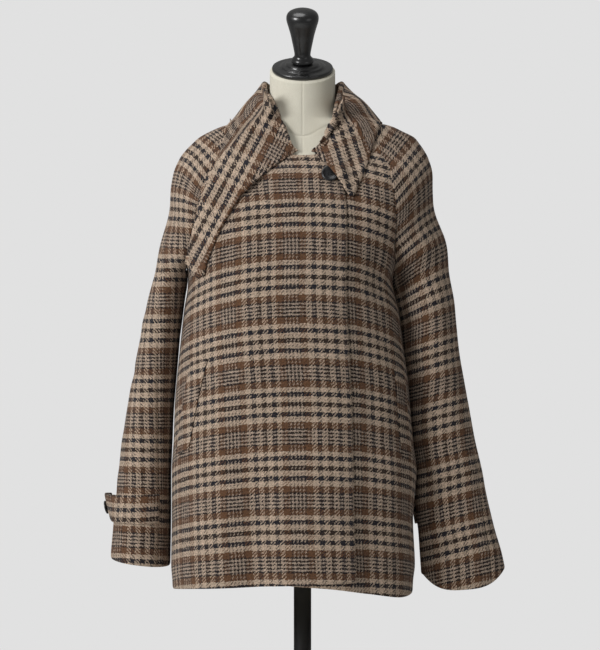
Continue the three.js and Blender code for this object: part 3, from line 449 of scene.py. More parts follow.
def sew(name, grid, flip, edges, creases=(), across=None, along=None, thick=CLOTH, cloth=None, rim=0.9):
    """Makes a piece of the coat from its smooth outer grid: creases, rolled edges, thickness, and its cloth."""
    normals = normals_of(grid, flip)
    if len(creases):
        grid = creased(grid, normals, creases, across, along)
        normals = normals_of(grid, flip)
    outer = rolled(grid, normals, edges)
    inner = grid - normals * (thick[:, None, None] if np.ndim(thick) else thick)
    shift = np.array(CHECK_SHIFT[name])
    note_faces(name, outer, flip)
    width, length = (float(run_lengths(grid, axis).max()) * MM for axis in (1, 0))
    width = CUT_WIDTHS.get(name, width)
    return cloth_shell(name, outer, inner, cloth + shift, wool, flip, rim)


# ---------------------------------------------------------------- materials

def colour(red, green, blue):
    """A colour given as it looks on a screen, 0 to 255, as the shader wants it."""
    def straight(value):
        value /= 255
        return value / 12.92 if value <= 0.04045 else ((value + 0.055) / 1.055) ** 2.4
    return (straight(red), straight(green), straight(blue), 1.0)


def feed(tree, socket, value):
    if isinstance(value, bpy.types.NodeSocket):
        tree.links.new(value, socket)
    elif value is not None:
        socket.default_value = value


def calc(tree, operation, *values):
    node = tree.nodes.new("ShaderNodeMath")
    node.operation = operation
    for socket, value in zip(node.inputs, values):
        feed(tree, socket, value)
    return node.outputs[0]


def speckle(tree, place, scale, detail=2.0, roughness=0.5, stretch=None):
    if stretch is not None:
        mapping = tree.nodes.new("ShaderNodeMapping")
        feed(tree, mapping.inputs["Vector"], place)
        mapping.inputs["Scale"].default_value = stretch
        place = mapping.outputs[0]
    node = tree.nodes.new("ShaderNodeTexNoise")
    feed(tree, node.inputs["Vector"], place)
    node.inputs["Scale"].default_value = scale
    node.inputs["Detail"].default_value = detail
    node.inputs["Roughness"].default_value = roughness
    return node.outputs[0]


def blend(tree, share, first, second, kind="MIX"):
    node = tree.nodes.new("ShaderNodeMix")
    node.data_type = "RGBA"
    node.blend_type = kind
    feed(tree, node.inputs[0], share)
    feed(tree, node.inputs[6], first)
    feed(tree, node.inputs[7], second)
    return node.outputs[2]


def spread(tree, value, low, high, to_low=0.0, to_high=1.0):
    node = tree.nodes.new("ShaderNodeMapRange")
    feed(tree, node.inputs["Value"], value)
    for key, number in (("From Min", low), ("From Max", high), ("To Min", to_low), ("To Max", to_high)):
        feed(tree, node.inputs[key], number)
    return node.outputs[0]


def new_group(name, inputs, outputs):
    """A shader node group; inputs are (name, kind, default) rows, outputs are (name, kind) rows."""
    group = bpy.data.node_groups.new(name, "ShaderNodeTree")
    for label, kind, default in inputs:
        socket = group.interface.new_socket(name=label, in_out="INPUT", socket_type="NodeSocket" + kind)
        if default is not None:
            socket.default_value = default
    for label, kind in outputs:
        group.interface.new_socket(name=label, in_out="OUTPUT", socket_type="NodeSocket" + kind)
    return group, group.nodes.new("NodeGroupInput").outputs, group.nodes.new("NodeGroupOutput").inputs


def place_group(tree, group, **values):
    node = tree.nodes.new("ShaderNodeGroup")
    node.node_tree = group
    for key, value in values.items():
        feed(tree, node.inputs[key.replace("_", " ")], value)
    return node.outputs


# Bands of the check, in yarns, the same both ways
YARNS = {
    "sand": colour(205, 182, 160), "navy": colour(27, 27, 38), "rust": colour(108, 74, 50),
    "umber": colour(48, 33, 26), "ash": colour(180, 160, 143), "ink": colour(38, 28, 26),
}
FINE_LINES = [("ink", 2), ("ash", 2)] * 4 + [("ink", 2)]
SETT = FINE_LINES + [("rust", 7), ("sand", 6), ("navy", 5), ("sand", 6), ("umber", 5), ("sand", 6), ("navy", 5),
                     ("sand", 5), ("rust", 7)]
SETT_YARNS = sum(count for _, count in SETT)
YARN = 101.0 / SETT_YARNS       # mm


def band_ramp(tree, place):
    ramp = tree.nodes.new("ShaderNodeValToRGB")
    ramp.color_ramp.interpolation = "CONSTANT"
    stops = ramp.color_ramp.elements
    at = 0
    for k, (name, count) in enumerate(SETT):
        stop = stops[0] if k == 0 else (stops[1] if k == 1 else stops.new(at / SETT_YARNS))
        stop.position = at / SETT_YARNS
        stop.color = YARNS[name]
        at += count
    feed(tree, ramp.inputs[0], place)
    return ramp.outputs[0]


def glen_check_group():
    """Twill woven check: colours of warp and weft bands where each yarn lies on top, and the yarns' height."""
    group, given, gives = new_group(
        "glen_check", [("Place", "Vector", None), ("Yarn", "Float", YARN * MM), ("Warp Width", "Float", 0.31)],
        [("Colour", "Color"), ("Height", "Float")])
    wander = group.nodes.new("ShaderNodeTexNoise")
    feed(group, wander.inputs["Vector"], given["Place"])
    wander.inputs["Scale"].default_value = 300
    wander.inputs["Detail"].default_value = 3
    offset = group.nodes.new("ShaderNodeVectorMath")
    offset.operation = "MULTIPLY_ADD"
    feed(group, offset.inputs[0], wander.outputs["Color"])
    offset.inputs[1].default_value = (0.0046, 0.0046, 0)
    feed(group, offset.inputs[2], given["Place"])
    split = group.nodes.new("ShaderNodeSeparateXYZ")
    feed(group, split.inputs[0], offset.outputs[0])
    cells = []
    for axis in (0, 1):
        yarns = calc(group, "DIVIDE", split.outputs[axis], given["Yarn"])
        number = calc(group, "FLOOR", yarns)
        inside = calc(group, "ABSOLUTE", calc(group, "SUBTRACT", calc(group, "FRACT", yarns), 0.5))
        band = calc(group, "FRACT", calc(group, "DIVIDE", calc(group, "ADD", number, 0.5), float(SETT_YARNS)))
        cells.append((number, inside, band_ramp(group, band)))
    (warp, warp_off, warp_colour), (weft, weft_off, weft_colour) = cells
    step = calc(group, "FRACT", calc(group, "DIVIDE", calc(group, "SUBTRACT", warp, weft), 4.0))
    over = calc(group, "MULTIPLY", calc(group, "LESS_THAN", step, 0.49),
                calc(group, "LESS_THAN", warp_off, given["Warp Width"]))
    feed(group, gives["Colour"], blend(group, over, weft_colour, warp_colour))
    warp_height = calc(group, "SUBTRACT", 1.0, calc(group, "POWER", calc(group, "MULTIPLY", warp_off, 2.0), 2.0))
    weft_height = calc(group, "SUBTRACT", 1.0, calc(group, "POWER", calc(group, "MULTIPLY", weft_off, 2.0), 2.0))
    height = group.nodes.new("ShaderNodeMix")
    feed(group, height.inputs[0], over)
    feed(group, height.inputs[2], weft_height)
    feed(group, height.inputs[3], warp_height)
    feed(group, gives["Height"], height.outputs[0])
    return group


def wool_nap_group():
    """Brushed wool: uneven fibre tone over a colour, painted shade in the gaps between the yarns, pale hairs, and
    fuzz for the bump.
    """
    group, given, gives = new_group(
        "wool_nap", [("Place", "Vector", None), ("Colour", "Color", (0.5, 0.5, 0.5, 1)), ("Height", "Float", 0.5),
                     ("Hair Colour", "Color", (0.5, 0.5, 0.5, 1))],
        [("Colour", "Color"), ("Height", "Float")])
    fleck = speckle(group, given["Place"], 330, 5, 0.75)
    cloud = speckle(group, given["Place"], 60, 2, 0.5)
    hair = speckle(group, given["Place"], 700, 2, 0.7, (0.35, 1.0, 1))
    hair_back = speckle(group, given["Place"], 760, 2, 0.7, (1.0, 0.4, 1))
    fleck_and_painted_gap_shade = calc(group, "MULTIPLY", spread(group, fleck, 0.3, 0.7, 0.36, 1.5),
                 spread(group, cloud, 0.3, 0.7, 0.93, 1.07))
    # painted shade: the colour darkens where the yarns' height falls off, in the gaps between the yarns
    fleck_and_painted_gap_shade = calc(group, "MULTIPLY", fleck_and_painted_gap_shade, spread(group, given["Height"], 0.0, 0.8, 0.45, 1.0))
    darkened = blend(group, 1.0, given["Colour"], fleck_and_painted_gap_shade, "MULTIPLY")
    strands = calc(group, "MAXIMUM", spread(group, hair, 0.56, 0.72), spread(group, hair_back, 0.58, 0.74))
    haired = blend(group, calc(group, "MULTIPLY", strands, 0.26), darkened, given["Hair Colour"])
    feed(group, gives["Colour"], haired)
    relief = calc(group, "MULTIPLY", given["Height"], 0.55)
    feed(group, gives["Height"],
         calc(group, "ADD", relief, calc(group, "ADD", calc(group, "MULTIPLY", fleck, 0.5),
                                         calc(group, "MULTIPLY", strands, 0.35))))
    return group


def fine_weave_group():
    """Plain woven cloth seen close: threads both ways, from millimetre coordinates round the piece."""
    group, given, gives = new_group(
        "fine_weave", [("Place", "Vector", None), ("Thread", "Float", 0.0007)], [("Mask", "Float")])
    split = group.nodes.new("ShaderNodeSeparateXYZ")
    feed(group, split.inputs[0], given["Place"])
    waves = []
    for axis in (0, 1):
        turns = calc(group, "DIVIDE", split.outputs[axis], given["Thread"])
        waves.append(calc(group, "SINE", calc(group, "MULTIPLY", turns, 2 * math.pi)))
    slub = speckle(group, given["Place"], 340, 3, 0.6, (1, 0.3, 1))
    woven = calc(group, "MULTIPLY", calc(group, "ADD", calc(group, "MULTIPLY", *waves), 1.0), 0.5)
    feed(group, gives["Mask"], calc(group, "ADD", calc(group, "MULTIPLY", woven, 0.6),
                                    calc(group, "MULTIPLY", slub, 0.4)))
    return group


def new_material(name, roughness, **sockets):
    material = bpy.data.materials.new(name)
    material.use_nodes = True
    tree = material.node_tree
    shader = tree.nodes["Principled BSDF"]
    shader.inputs["Roughness"].default_value = roughness
    for key, value in sockets.items():
        shader.inputs[key.replace("_", " ")].default_value = value
    return material, tree, shader


def bump_into(tree, shader, height, distance, strength=1.0):
    bump = tree.nodes.new("ShaderNodeBump")
    bump.inputs["Strength"].default_value = strength
    bump.inputs["Distance"].default_value = distance
    feed(tree, bump.inputs["Height"], height)
    feed(tree, shader.inputs["Normal"], bump.outputs[0])


glen_check, wool_nap, fine_weave = glen_check_group(), wool_nap_group(), fine_weave_group()


def checked_wool():
    material, tree, shader = new_material("checked_wool", 0.95, Sheen_Weight=0.09, Sheen_Roughness=0.6,
                                          Specular_IOR_Level=0.15)
    uv = tree.nodes.new("ShaderNodeUVMap")
    uv.uv_map = "cloth"
    woven = place_group(tree, glen_check, Place=uv.outputs[0])
    napped = place_group(tree, wool_nap, Place=uv.outputs[0], Colour=woven["Colour"], Height=woven["Height"],
                         Hair_Colour=colour(176, 156, 134))
    feed(tree, shader.inputs["Base Color"], napped["Colour"])
    bump_into(tree, shader, napped["Height"], 0.0011, 0.9)
    return material


def form_canvas():
    material, tree, shader = new_material("form_canvas", 0.8, Sheen_Weight=0.1, Specular_IOR_Level=0.3)
    place = tree.nodes.new("ShaderNodeUVMap")
    place.uv_map = "cloth"
    weave = place_group(tree, fine_weave, Place=place.outputs[0])["Mask"]
    stain = speckle(tree, place.outputs[0], 9, 3, 0.5)
    tone = blend(tree, spread(tree, weave, 0.2, 0.8), colour(204, 199, 181), colour(226, 222, 208))
    tone = blend(tree, spread(tree, stain, 0.45, 0.75, 0, 0.35), tone, colour(208, 200, 178))
    feed(tree, shader.inputs["Base Color"], tone)
    bump_into(tree, shader, weave, 0.00025, 0.6)
    return material


def black_gloss(name, roughness, coat, grain_scale, tone):
    material, tree, shader = new_material(name, roughness, Coat_Weight=coat, Coat_Roughness=0.12)
    place = tree.nodes.new("ShaderNodeTexCoord").outputs["Object"]
    grain = speckle(tree, place, grain_scale, 4, 0.6, (1, 1, 0.25))
    feed(tree, shader.inputs["Base Color"],
         blend(tree, grain, tone, tuple(min(1, c * 1.4) for c in tone[:3]) + (1.0,)))
    feed(tree, shader.inputs["Roughness"], spread(tree, grain, 0.3, 0.7, roughness - 0.06, roughness + 0.08))
    bump_into(tree, shader, grain, 0.0002, 0.35)
    return material


wool = checked_wool()
canvas = form_canvas()
horn = black_gloss("black_horn", 0.32, 0.25, 160, colour(20, 20, 22))
lacquer = black_gloss("black_lacquer", 0.3, 0.5, 45, colour(20, 20, 21))
steel = black_gloss("black_steel", 0.42, 0.1, 300, colour(24, 24, 25))


# ---------------------------------------------------------------- body panels

def side_edge(seam, rows, hem):
    along_seam = spline(seam, np.minimum(rows, RAGLAN_ROWS) * UNDERARM / RAGLAN_ROWS)
    turn, height = seam[UNDERARM]
    down = np.clip((rows - RAGLAN_ROWS) / SIDE_ROWS, 0, 1)
    straight = np.stack([turn + 0 * rows, lerp(height, hem, down)], -1)
    return np.where((rows <= RAGLAN_ROWS)[:, None], along_seam, straight)


def panel_places(first, last, top, bottom, rows_at, columns_at):
    """Turn and height over a panel between its four edges."""
    a, b = first(rows_at)[:, None, :], last(rows_at)[:, None, :]
    t, d = top(columns_at)[None], bottom(columns_at)[None]
    c00, c10 = first(np.array([0.0]))[0], last(np.array([0.0]))[0]
    c01, c11 = first(np.array([float(PANEL_ROWS)]))[0], last(np.array([float(PANEL_ROWS)]))[0]
    v = ((c00[1] - a[..., 1]) / (c00[1] - c01[1]))[..., None]
    u = columns_at[None, :, None]
    return ((1 - u) * a + u * b + (1 - v) * t + v * d - (1 - u) * (1 - v) * c00 - u * (1 - v) * c10
            - (1 - u) * v * c01 - u * v * c11)


def lap_lift(turn, height):
    """How far the overlapping front stands off the body: a little more at the chest, fading out to the side."""
    return (LAP_LIFT + soft(height, 1290, 1350)) * soft(turn, -64, -46)


def rows_down(length, raglan_share):
    at = shares(length)
    return np.where(at < raglan_share, at / raglan_share * RAGLAN_ROWS,
                    RAGLAN_ROWS + (at - raglan_share) / (1 - raglan_share) * SIDE_ROWS)


# Creases: from across and height, to across and height, half width, rise. Across is from the front edge or middle
FRONT_RIGHT_CREASES = [
    (-182, 1240, -196, 1130, 12, -2.6), (-150, 1120, -172, 960, 16, 1.6), (-214, 1090, -236, 900, 14, -2.4),
    (-120, 1010, -150, 760, 20, -1.8), (-60, 900, -52, 720, 22, 1.2), (-190, 880, -200, 720, 18, 1.8),
    (-30, 1220, -70, 1150, 16, -0.9), (-96, 1290, -128, 1236, 12, -1.2),
]
FRONT_LEFT_CREASES = [
    (22, 1290, 30, 1180, 10, -1.3), (48, 1250, 66, 1120, 13, -2.0), (84, 1180, 96, 1010, 13, 1.6),
    (40, 1060, 46, 840, 14, -1.8), (92, 980, 104, 780, 15, -1.8), (66, 860, 70, 720, 14, 1.4),
]
BACK_CREASES = [
    (-150, 1230, -176, 1110, 13, -2.4), (150, 1236, 172, 1120, 13, -2.6), (-90, 1140, -110, 900, 20, -2.2),
    (80, 1120, 96, 860, 22, -2.0), (-40, 1010, -30, 760, 24, 1.8), (30, 960, 44, 740, 20, -1.6),
    (-160, 950, -178, 760, 18, 1.9), (160, 940, 176, 730, 18, 1.7), (-6, 1300, 10, 1200, 20, -0.9),
]


def front_panel(side):
    over = side == "right"
    name = "front_" + side
    hem = HEM_RIGHT if over else HEM_LEFT
    edge = EDGE_RIGHT if over else EDGE_LEFT
    seam = front_seam[side]
    hem_side = float(hem(90 * SIGN[side]))
    edge_top = 46 if over else -38
    edge_top_height = float(neckline(edge_top))
    hem_edge = float(hem(edge(677)))
    top_height = seam[0][1]

    def first(rows):
        return side_edge(seam, rows, hem_side)

    def last(rows):
        share = (top_height - first(rows)[:, 1]) / (top_height - hem_side)
        height = lerp(edge_top_height, hem_edge, share)
        turn = np.where(rows == 0, edge_top, edge(height))
        return np.stack([turn, height], -1)

    def top(u):
        turn = lerp(seam[0][0], edge_top, u)
        return np.stack([turn, neckline(turn)], -1)

    def bottom(u):
        turn = lerp(90 * SIGN[side], last(np.array([float(PANEL_ROWS)]))[0][0], u)
        return np.stack([turn, hem(turn)], -1)

    rows_at = rows_down(810, 0.42)
    columns_at = shares(300)
    places = panel_places(first, last, top, bottom, rows_at, columns_at)
    turn, height = places[..., 0], places[..., 1]
    grid = body_point(turn, height, lap_lift(turn, height) if over else 0)
    grid = trimmed(grid, first=SEAM_GAP, top=SEAM_GAP)
    across, along = body_cloth(name, turn, height)
    if over:
        across = np.where(across > LAP_CHECK_FROM, across - LAP_CHECK_STEP, across)
    creases = FRONT_RIGHT_CREASES if over else FRONT_LEFT_CREASES
    return sew(name, grid, over, ("seam", "lap edge" if over else "edge", "seam", "edge"), creases, across, height,
               cloth=np.stack([across, along], -1))


def back_panel():
    def first(rows):
        return side_edge(back_seam["left"], rows, float(HEM_BACK(90)))

    def last(rows):
        return side_edge(back_seam["right"], rows, float(HEM_BACK(270))) + np.array([360, 0])

    def top(u):
        turn = lerp(142, 218, u)
        return np.stack([turn, neckline(turn)], -1)

    def bottom(u):
        turn = lerp(90, 270, u)
        return np.stack([turn, HEM_BACK(turn)], -1)

    places = panel_places(first, last, top, bottom, rows_down(790, 0.4), shares(400))
    turn, height = places[..., 0], places[..., 1]
    grid = trimmed(body_point(turn, height), SEAM_GAP, SEAM_GAP, SEAM_GAP)
    across, along = body_cloth("back", turn, height)
    return sew("back", grid, True, ("seam", "seam", "seam", "edge"), BACK_CREASES, across, height,
               cloth=np.stack([across, along], -1))


# ---------------------------------------------------------------- sleeves

CAP_HEIGHTS = [(h,) for h in (1419, 1415, 1404, 1386, 1357, 1321, 1276, 1224, 1166)]
CAP_OUTER = {
    "right": table_curve([(1404, -145), (1386, -175), (1357, -201), (1321, -214), (1276, -220), (1224, -231),
                          (1166, -243), (1157, -246)]),
    "left": table_curve([(1404, 158), (1386, 187), (1357, 206), (1321, 216), (1276, 224), (1224, 234), (1166, 241),
                         (1157, 243)]),
}
# Tube part: down, inner and outer edge in the front view, then middle, front depth and back depth
TUBES = {
    "right": [
        (300, 184.9, 148, 4, 60, 58), (321, 182.3, 144, 6, 61, 60), (350, 179.3, 138, 8, 61, 62),
        (380, 176.3, 132, 10, 60, 62), (410, 173.9, 127, 10, 60, 61), (440, 172.6, 122, 8, 60, 60),
        (470, 171.3, 119, 6, 60, 59), (490, 171.2, 117, 4, 60, 58), (510, 171.2, 114.5, 3, 59, 57),
        (530, 171, 113, 2, 58, 56), (550, 170.6, 111.2, 2, 57, 56), (562, 170.3, 111, 2, 57, 56),
    ],
    "left": [
        (300, 395.4, 454, 4, 60, 58), (321, 399.4, 456, 6, 60, 60), (350, 402.6, 459, 8, 59, 62),
        (380, 406.5, 464, 10, 57, 62), (410, 408.9, 469.5, 10, 55, 60), (440, 411.8, 475, 8, 53, 58),
        (470, 415.3, 482, 6, 50, 56), (490, 415, 485.5, 4, 48, 53), (510, 415.4, 490, 2, 46, 50),
        (530, 418, 495, 0, 44, 47), (550, 419.4, 501, 0, 42, 44), (572, 421, 505, 0, 40, 42),
    ],
}
# Share of the way round, from the inner edge over the front, where the overarm seam lies
SEAM_SHARE = {
    "right": [(s,) for s in (0.5, 0.5, 0.5, 0.49, 0.47, 0.44, 0.41, 0.38, 0.35, 0.31, 0.28, 0.24, 0.205, 0.18,
                             0.16, 0.145, 0.14, 0.138, 0.136, 0.135, 0.135)],
    "left": [(s,) for s in (0.5, 0.5, 0.5, 0.5, 0.5, 0.5, 0.5, 0.5, 0.5, 0.5, 0.5, 0.49, 0.48, 0.45, 0.43, 0.42,
                            0.41, 0.4, 0.39, 0.38, 0.37)],
}
# How far the underarm seam has turned to the back of the arm, as a share of the way round
SEAM_TURN = {
    "right": [(s,) for s in (0, 0, 0, 0, 0, 0, 0, 0, 0, 0.04, 0.09, 0.15, 0.2, 0.24, 0.27, 0.29, 0.3, 0.3, 0.3,
                             0.3, 0.3)],
    "left": [(0,)] * 21,
}
ROUND_SHARE = [(r,) for r in (0, 0, 0, 0, 0, 0.35, 0.7, 1, 1)]
CUFF_ENDS = {
    "right": ((170.3, 564.5), (111.2, 557.5), 2, 12),
    "left": ((422, 573.5), (505, 567.5), 27, 15),
}
LAST_STEP = {side: UNDERARM + len(TUBES[side]) for side in SIGN}


def bezier(a, b, c, d, t):
    s = 1 - t
    return a * s ** 3 + b * 3 * s * s * t + c * 3 * s * t * t + d * t ** 3


def loop_round(a, front_way, b, front_pull, back_pull, c, back_way, share):
    """A loop round the sleeve from the front seam over the outer line to the back seam."""
    front = (share <= 0.5)[:, None]
    start = np.where(front, a, c)
    way = np.where(front, front_way, back_way)
    side = np.where(front, np.array([0, -front_pull, 0.0]), np.array([0, back_pull, 0.0]))
    t = np.where(share <= 0.5, share * 2, (1 - share) * 2)[:, None]
    return bezier(start, start + way, b + side, b, t)


def cap_loop(side, step, share):
    t = min(step, UNDERARM)
    front_turn, front_height = spline(front_seam[side], t)
    back_turn, back_height = spline(back_seam[side], t)
    height = float(spline(CAP_HEIGHTS, t)[0])
    front = share <= 0.5
    near = np.where(front, share * 2, (1 - share) * 2)
    turn = np.where(front, front_turn, back_turn)
    edge = np.where(front, front_height, back_height)
    bend = (1 - near) ** 1.5
    dome = body_point(lerp(turn, 90 * SIGN[side], near), lerp(height, edge, bend))
    rounded = float(spline(ROUND_SHARE, t)[0])
    if rounded <= 0.001:
        return dome
    a, c = body_point(front_turn, front_height), body_point(back_turn, back_height)
    b = np.array([float(CAP_OUTER[side](height)), 4, height])
    late = float(soft(t, 6, 8.4))
    reach = abs(b[0] - a[0])
    front_way = np.array([SIGN[side] * reach * lerp(0.5, 0.1, late), -lerp(4, 70, late), 4])
    back_way = np.array([SIGN[side] * reach * lerp(0.5, 0.1, late), lerp(4, 70, late), 4])
    pulls = (lerp(0.62 * abs(a[1] - 4), 80, late), lerp(0.62 * abs(c[1] - 4), 78, late))
    tube = loop_round(a, front_way, b, pulls[0], pulls[1], c, back_way, share)
    return lerp(dome, tube, rounded)


def tube_loop(row, share):
    down, inner, outer, middle, front, back = row
    a, b = seen(inner, down, middle), seen(outer, down, middle)
    ways = [np.array([0, dy * 4 / 3, -abs(dy) * 0.04]) for dy in (-front, back)]
    return loop_round(a, ways[0], b, front * 4 / 3, back * 4 / 3, a, ways[1], share)


def sleeve_key(side, key, share):
    if key <= UNDERARM:
        return cap_loop(side, max(key, 0), share)
    last = LAST_STEP[side]
    points = tube_loop(TUBES[side][min(key, last) - UNDERARM - 1], share)
    if key < last:
        return points
    inner, outer, sag_front, sag_back = CUFF_ENDS[side]
    a, b = seen(*inner, 0), seen(*outer, 0)
    across = np.clip((points[:, 0] - a[0]) / (b[0] - a[0]), 0, 1)
    sag = np.where(share < 0.5, sag_front, sag_back) * (1 - np.abs(2 * across - 1) ** 3.2)
    points[:, 2] = lerp(a[2], b[2], across) - sag
    return points


def sleeve_points(side, step, share):
    share = np.atleast_1d(np.asarray(share, float))
    if step <= UNDERARM:
        return cap_loop(side, step, share)
    last = LAST_STEP[side]
    i = int(np.clip(math.floor(step), UNDERARM, last - 1))
    f = step - i
    k0, k1, k2, k3 = (sleeve_key(side, k, share) for k in (max(i - 1, 0), i, i + 1, min(i + 2, last)))
    single = (np.zeros_like(share) if i > UNDERARM else 1 - soft(np.minimum(share, 1 - share), 0.02, 0.16))
    d = k2 - k1
    a = lerp(0.5 * (k2 - k0), d, single[:, None])
    b = (1 if i == last - 1 else 0.5) * (k3 - k1)
    return k1 + f * (a + f * (3 * d - 2 * a - b + f * (a + b - 2 * d)))


# The sleeves' outer line in the front view and how the weft leaves it: right, down, slope in degrees beside the
# line, slope further in, and where the second one takes over
OUTER_LINES = {
    "left": [(350, 116, 55, 55, 20), (378, 128, 55, 55, 20), (403, 136, 52, 52, 20), (419, 147, 50, 51, 20),
             (431, 165, 46, 50, 16), (438, 205, 33, 43, 16), (441, 226, 31, 43, 18), (448, 260, 25, 33, 20),
             (453, 292, 21, 27, 25), (458, 340, 17, 18, 25), (467, 400, 15, 15, 25), (484, 480, 15, 15, 25),
             (504, 567, 14, 14, 25), (512, 610, 14, 14, 25)],
    "right": [(262, 110, 40, 40, 20), (232, 121, 40, 40, 20), (210, 132, 36, 45, 14), (198, 139, 34, 50, 10),
              (186, 150, 24, 53, 8), (176, 166, 8, 52, 9), (172, 180, 4, 45, 12), (168, 200, 3, 22, 14),
              (165, 224, 2, 10, 16), (159, 260, 1, 3, 16), (148, 300, 0, 0, 20), (132, 380, 0, 0, 20),
              (120, 460, 2, 2, 20), (113, 530, 3, 3, 20), (110, 600, 3, 3, 20)],
}


# How far the checks slip along the sleeve: down the outer line in the front view, slip in px
SLEEVE_SLIP = {
    "right": [(0, 0), (350, 0), (440, 4), (540, 9)],
    "left": [(0, 0), (220, 0), (300, -10), (480, -8)],
}


def sleeve_along(side, points):
    """Way along a sleeve's cloth, from where the weft through each point leaves the sleeve's outer line."""
    rows = spline(OUTER_LINES[side], np.linspace(0, len(OUTER_LINES[side]) - 1, 420))
    lengths = np.concatenate([[0], np.cumsum(np.hypot(np.diff(rows[:, 0]), np.diff(rows[:, 1])))])
    lengths = lengths + np.interp(rows[:, 1], *zip(*SLEEVE_SLIP[side]))
    right, down = in_view(points.reshape(-1, 3))
    inward = (rows[:, 0][None] - right[:, None]) * SIGN[side]
    near_slope, far_slope = np.tan(np.radians(rows[:, 2])), np.tan(np.radians(rows[:, 3]))
    past = rows[:, 4] * np.log1p(np.exp(np.clip((inward - rows[:, 4]) / (0.35 * rows[:, 4]), -30, 30))) * 0.35
    stripe = rows[:, 1] + near_slope * inward + (far_slope - near_slope) * past
    below = down[:, None] - stripe
    k = np.clip((below > 0).sum(1) - 1, 0, len(rows) - 2)
    each = np.arange(len(right))
    f = below[each, k] / np.maximum(below[each, k] - below[each, k + 1], 1e-6)
    along = lengths[k] + np.clip(f, -3, 3) * (lengths[k + 1] - lengths[k])
    return -along.reshape(points.shape[:2]) * UNIT * 0.985


# Creases of the sleeves: from way round and step, to way round and step (steps of 40 mm), half width, rise
SLEEVE_CREASES = {
    "sleeve_right_front": [(20, 250, 60, 320, 13, -2.2), (30, 420, 70, 470, 12, -1.8), (16, 560, 50, 620, 12, -1.4)],
    "sleeve_right_back": [(40, 330, 110, 280, 14, -2.2), (30, 430, 120, 400, 15, 1.8), (50, 500, 140, 520, 13, -2.2),
                          (90, 600, 160, 570, 13, -1.6), (60, 660, 120, 690, 12, 1.2)],
    "sleeve_left_front": [(12, 250, 46, 360, 13, -2.8), (30, 400, 96, 372, 14, -1.8), (20, 470, 84, 500, 14, 1.4),
                          (24, 560, 60, 700, 11, -1.6), (84, 590, 90, 680, 10, 1.2)],
    "sleeve_left_back": [(40, 330, 110, 280, 14, -2.2), (40, 440, 120, 410, 15, -1.8), (30, 520, 120, 540, 13, 1.6),
                         (60, 620, 110, 600, 13, -1.4)],
}


def sleeve_half(side, half):
    name = f"sleeve_{side}_{half}"
    last = LAST_STEP[side]
    down_at = shares(780)
    rows_at = np.where(down_at < 0.4, down_at / 0.4 * UNDERARM, UNDERARM + (down_at - 0.4) / 0.6 * (last - UNDERARM))
    width = {"right": {"front": 160, "back": 170}, "left": {"front": 160, "back": 150}}[side][half]
    columns_at = shares(width)
    rows = []
    for step in rows_at:
        split = float(spline(SEAM_SHARE[side], step)[0])
        turned_back = float(spline(SEAM_TURN[side], step)[0])
        share = lerp(-turned_back, split, columns_at) if half == "front" else lerp(split, 1 - turned_back, columns_at)
        share = np.clip(share, 0, 1) if step <= UNDERARM else np.where(share < 0, share + 1, share)
        rows.append(sleeve_points(side, float(step), share))
    grid = trimmed(np.array(rows), SEAM_GAP, SEAM_GAP, SEAM_GAP)
    column = 0 if half == "front" else -1
    near_underarm = np.exp(-((rows_at - UNDERARM - 0.6) / 1.4) ** 2) * 0.6
    inward = unit(grid[:, 3 if half == "front" else -4] - grid[:, column])
    grid[:, column] += inward * near_underarm[:, None]
    grid[:, 1 if half == "front" else -2] += inward * near_underarm[:, None] * 0.9
    if side == "left":
        from_body = run_lengths(grid, 1) if half == "front" else run_lengths(grid[:, ::-1], 1)[:, ::-1]
        grid[..., 0] -= LEFT_SLEEVE_LEAN * np.exp(-((rows_at[:, None] - UNDERARM - 0.2) / 1.1) ** 2 - (from_body / 34) ** 2)
    across = run_lengths(grid, 1)
    if half == "front":
        across = across - across[:, -1:]
    along = sleeve_along(side, grid)
    creases_across = np.abs(across) if half == "back" else across - across[:, :1]
    creases_along = run_lengths(grid, 0)
    sides = ("flat seam", "seam") if half == "front" else ("seam", "flat seam")
    return sew(name, grid, side == "left", (*sides, "seam", "edge"), SLEEVE_CREASES[name], creases_across,
               creases_along, cloth=np.stack([across, along], -1))


coat = [front_panel("right"), front_panel("left"), back_panel()]
coat += [sleeve_half(side, half) for side in ("right", "left") for half in ("front", "back")]
coat_tree = faces_tree(*[node_of[piece] for piece in coat])


def coat_behind(right, down):
    """The nearest place of the coat behind a place of the front view, and its way out."""
    way = unit(seen(right, down, 0.0) - EYE)
    place = coat_tree.ray_cast(Vector(EYE), Vector(way))[0]
    return None if place is None else np.array(place)


def off_cloth(tree, point):
    """How far a point is off the cloth, negative behind it, and the way out."""
    place, normal, _, distance = tree.find_nearest(Vector(point))
    off = np.array(point) - np.array(place)
    outside = off @ np.array(normal) > 0
    way = unit(off) if outside and distance > 0.5 else np.array(normal)
    return (distance if outside else -distance), way


# ---------------------------------------------------------------- turned pieces and buttons

def turned(name, profile, segments, material, centre, axis):
    """A turned solid on an axis: radius and height pairs, from the axis at the bottom to the axis at the top."""
    turn = Vector((0, 0, 1)).rotation_difference(Vector(axis))
    points, faces, rings = [], [], []
    for radius, height in profile:
        count = segments if radius > 0 else 1
        rings.append((len(points), count))
        for k in range(count):
            angle = 2 * math.pi * k / segments
            place = Vector((radius * math.cos(angle), radius * math.sin(angle), height))
            points.append(turn @ place + Vector(centre))
    for (a, many), (b, more) in zip(rings, rings[1:]):
        for k in range(segments):
            m = (k + 1) % segments
            if many > 1 and more > 1:
                faces.append((a + k, a + m, b + m, b + k))
            elif many > 1:
                faces.append((a + k, a + m, b))
            elif more > 1:
                faces.append((a, b + m, b + k))
    return mesh_object(name, points, faces, material)


def smooth_profile(points, steps=5):
    return [tuple(p) for p in spline(points, np.linspace(0, len(points) - 1, (len(points) - 1) * steps + 1))]


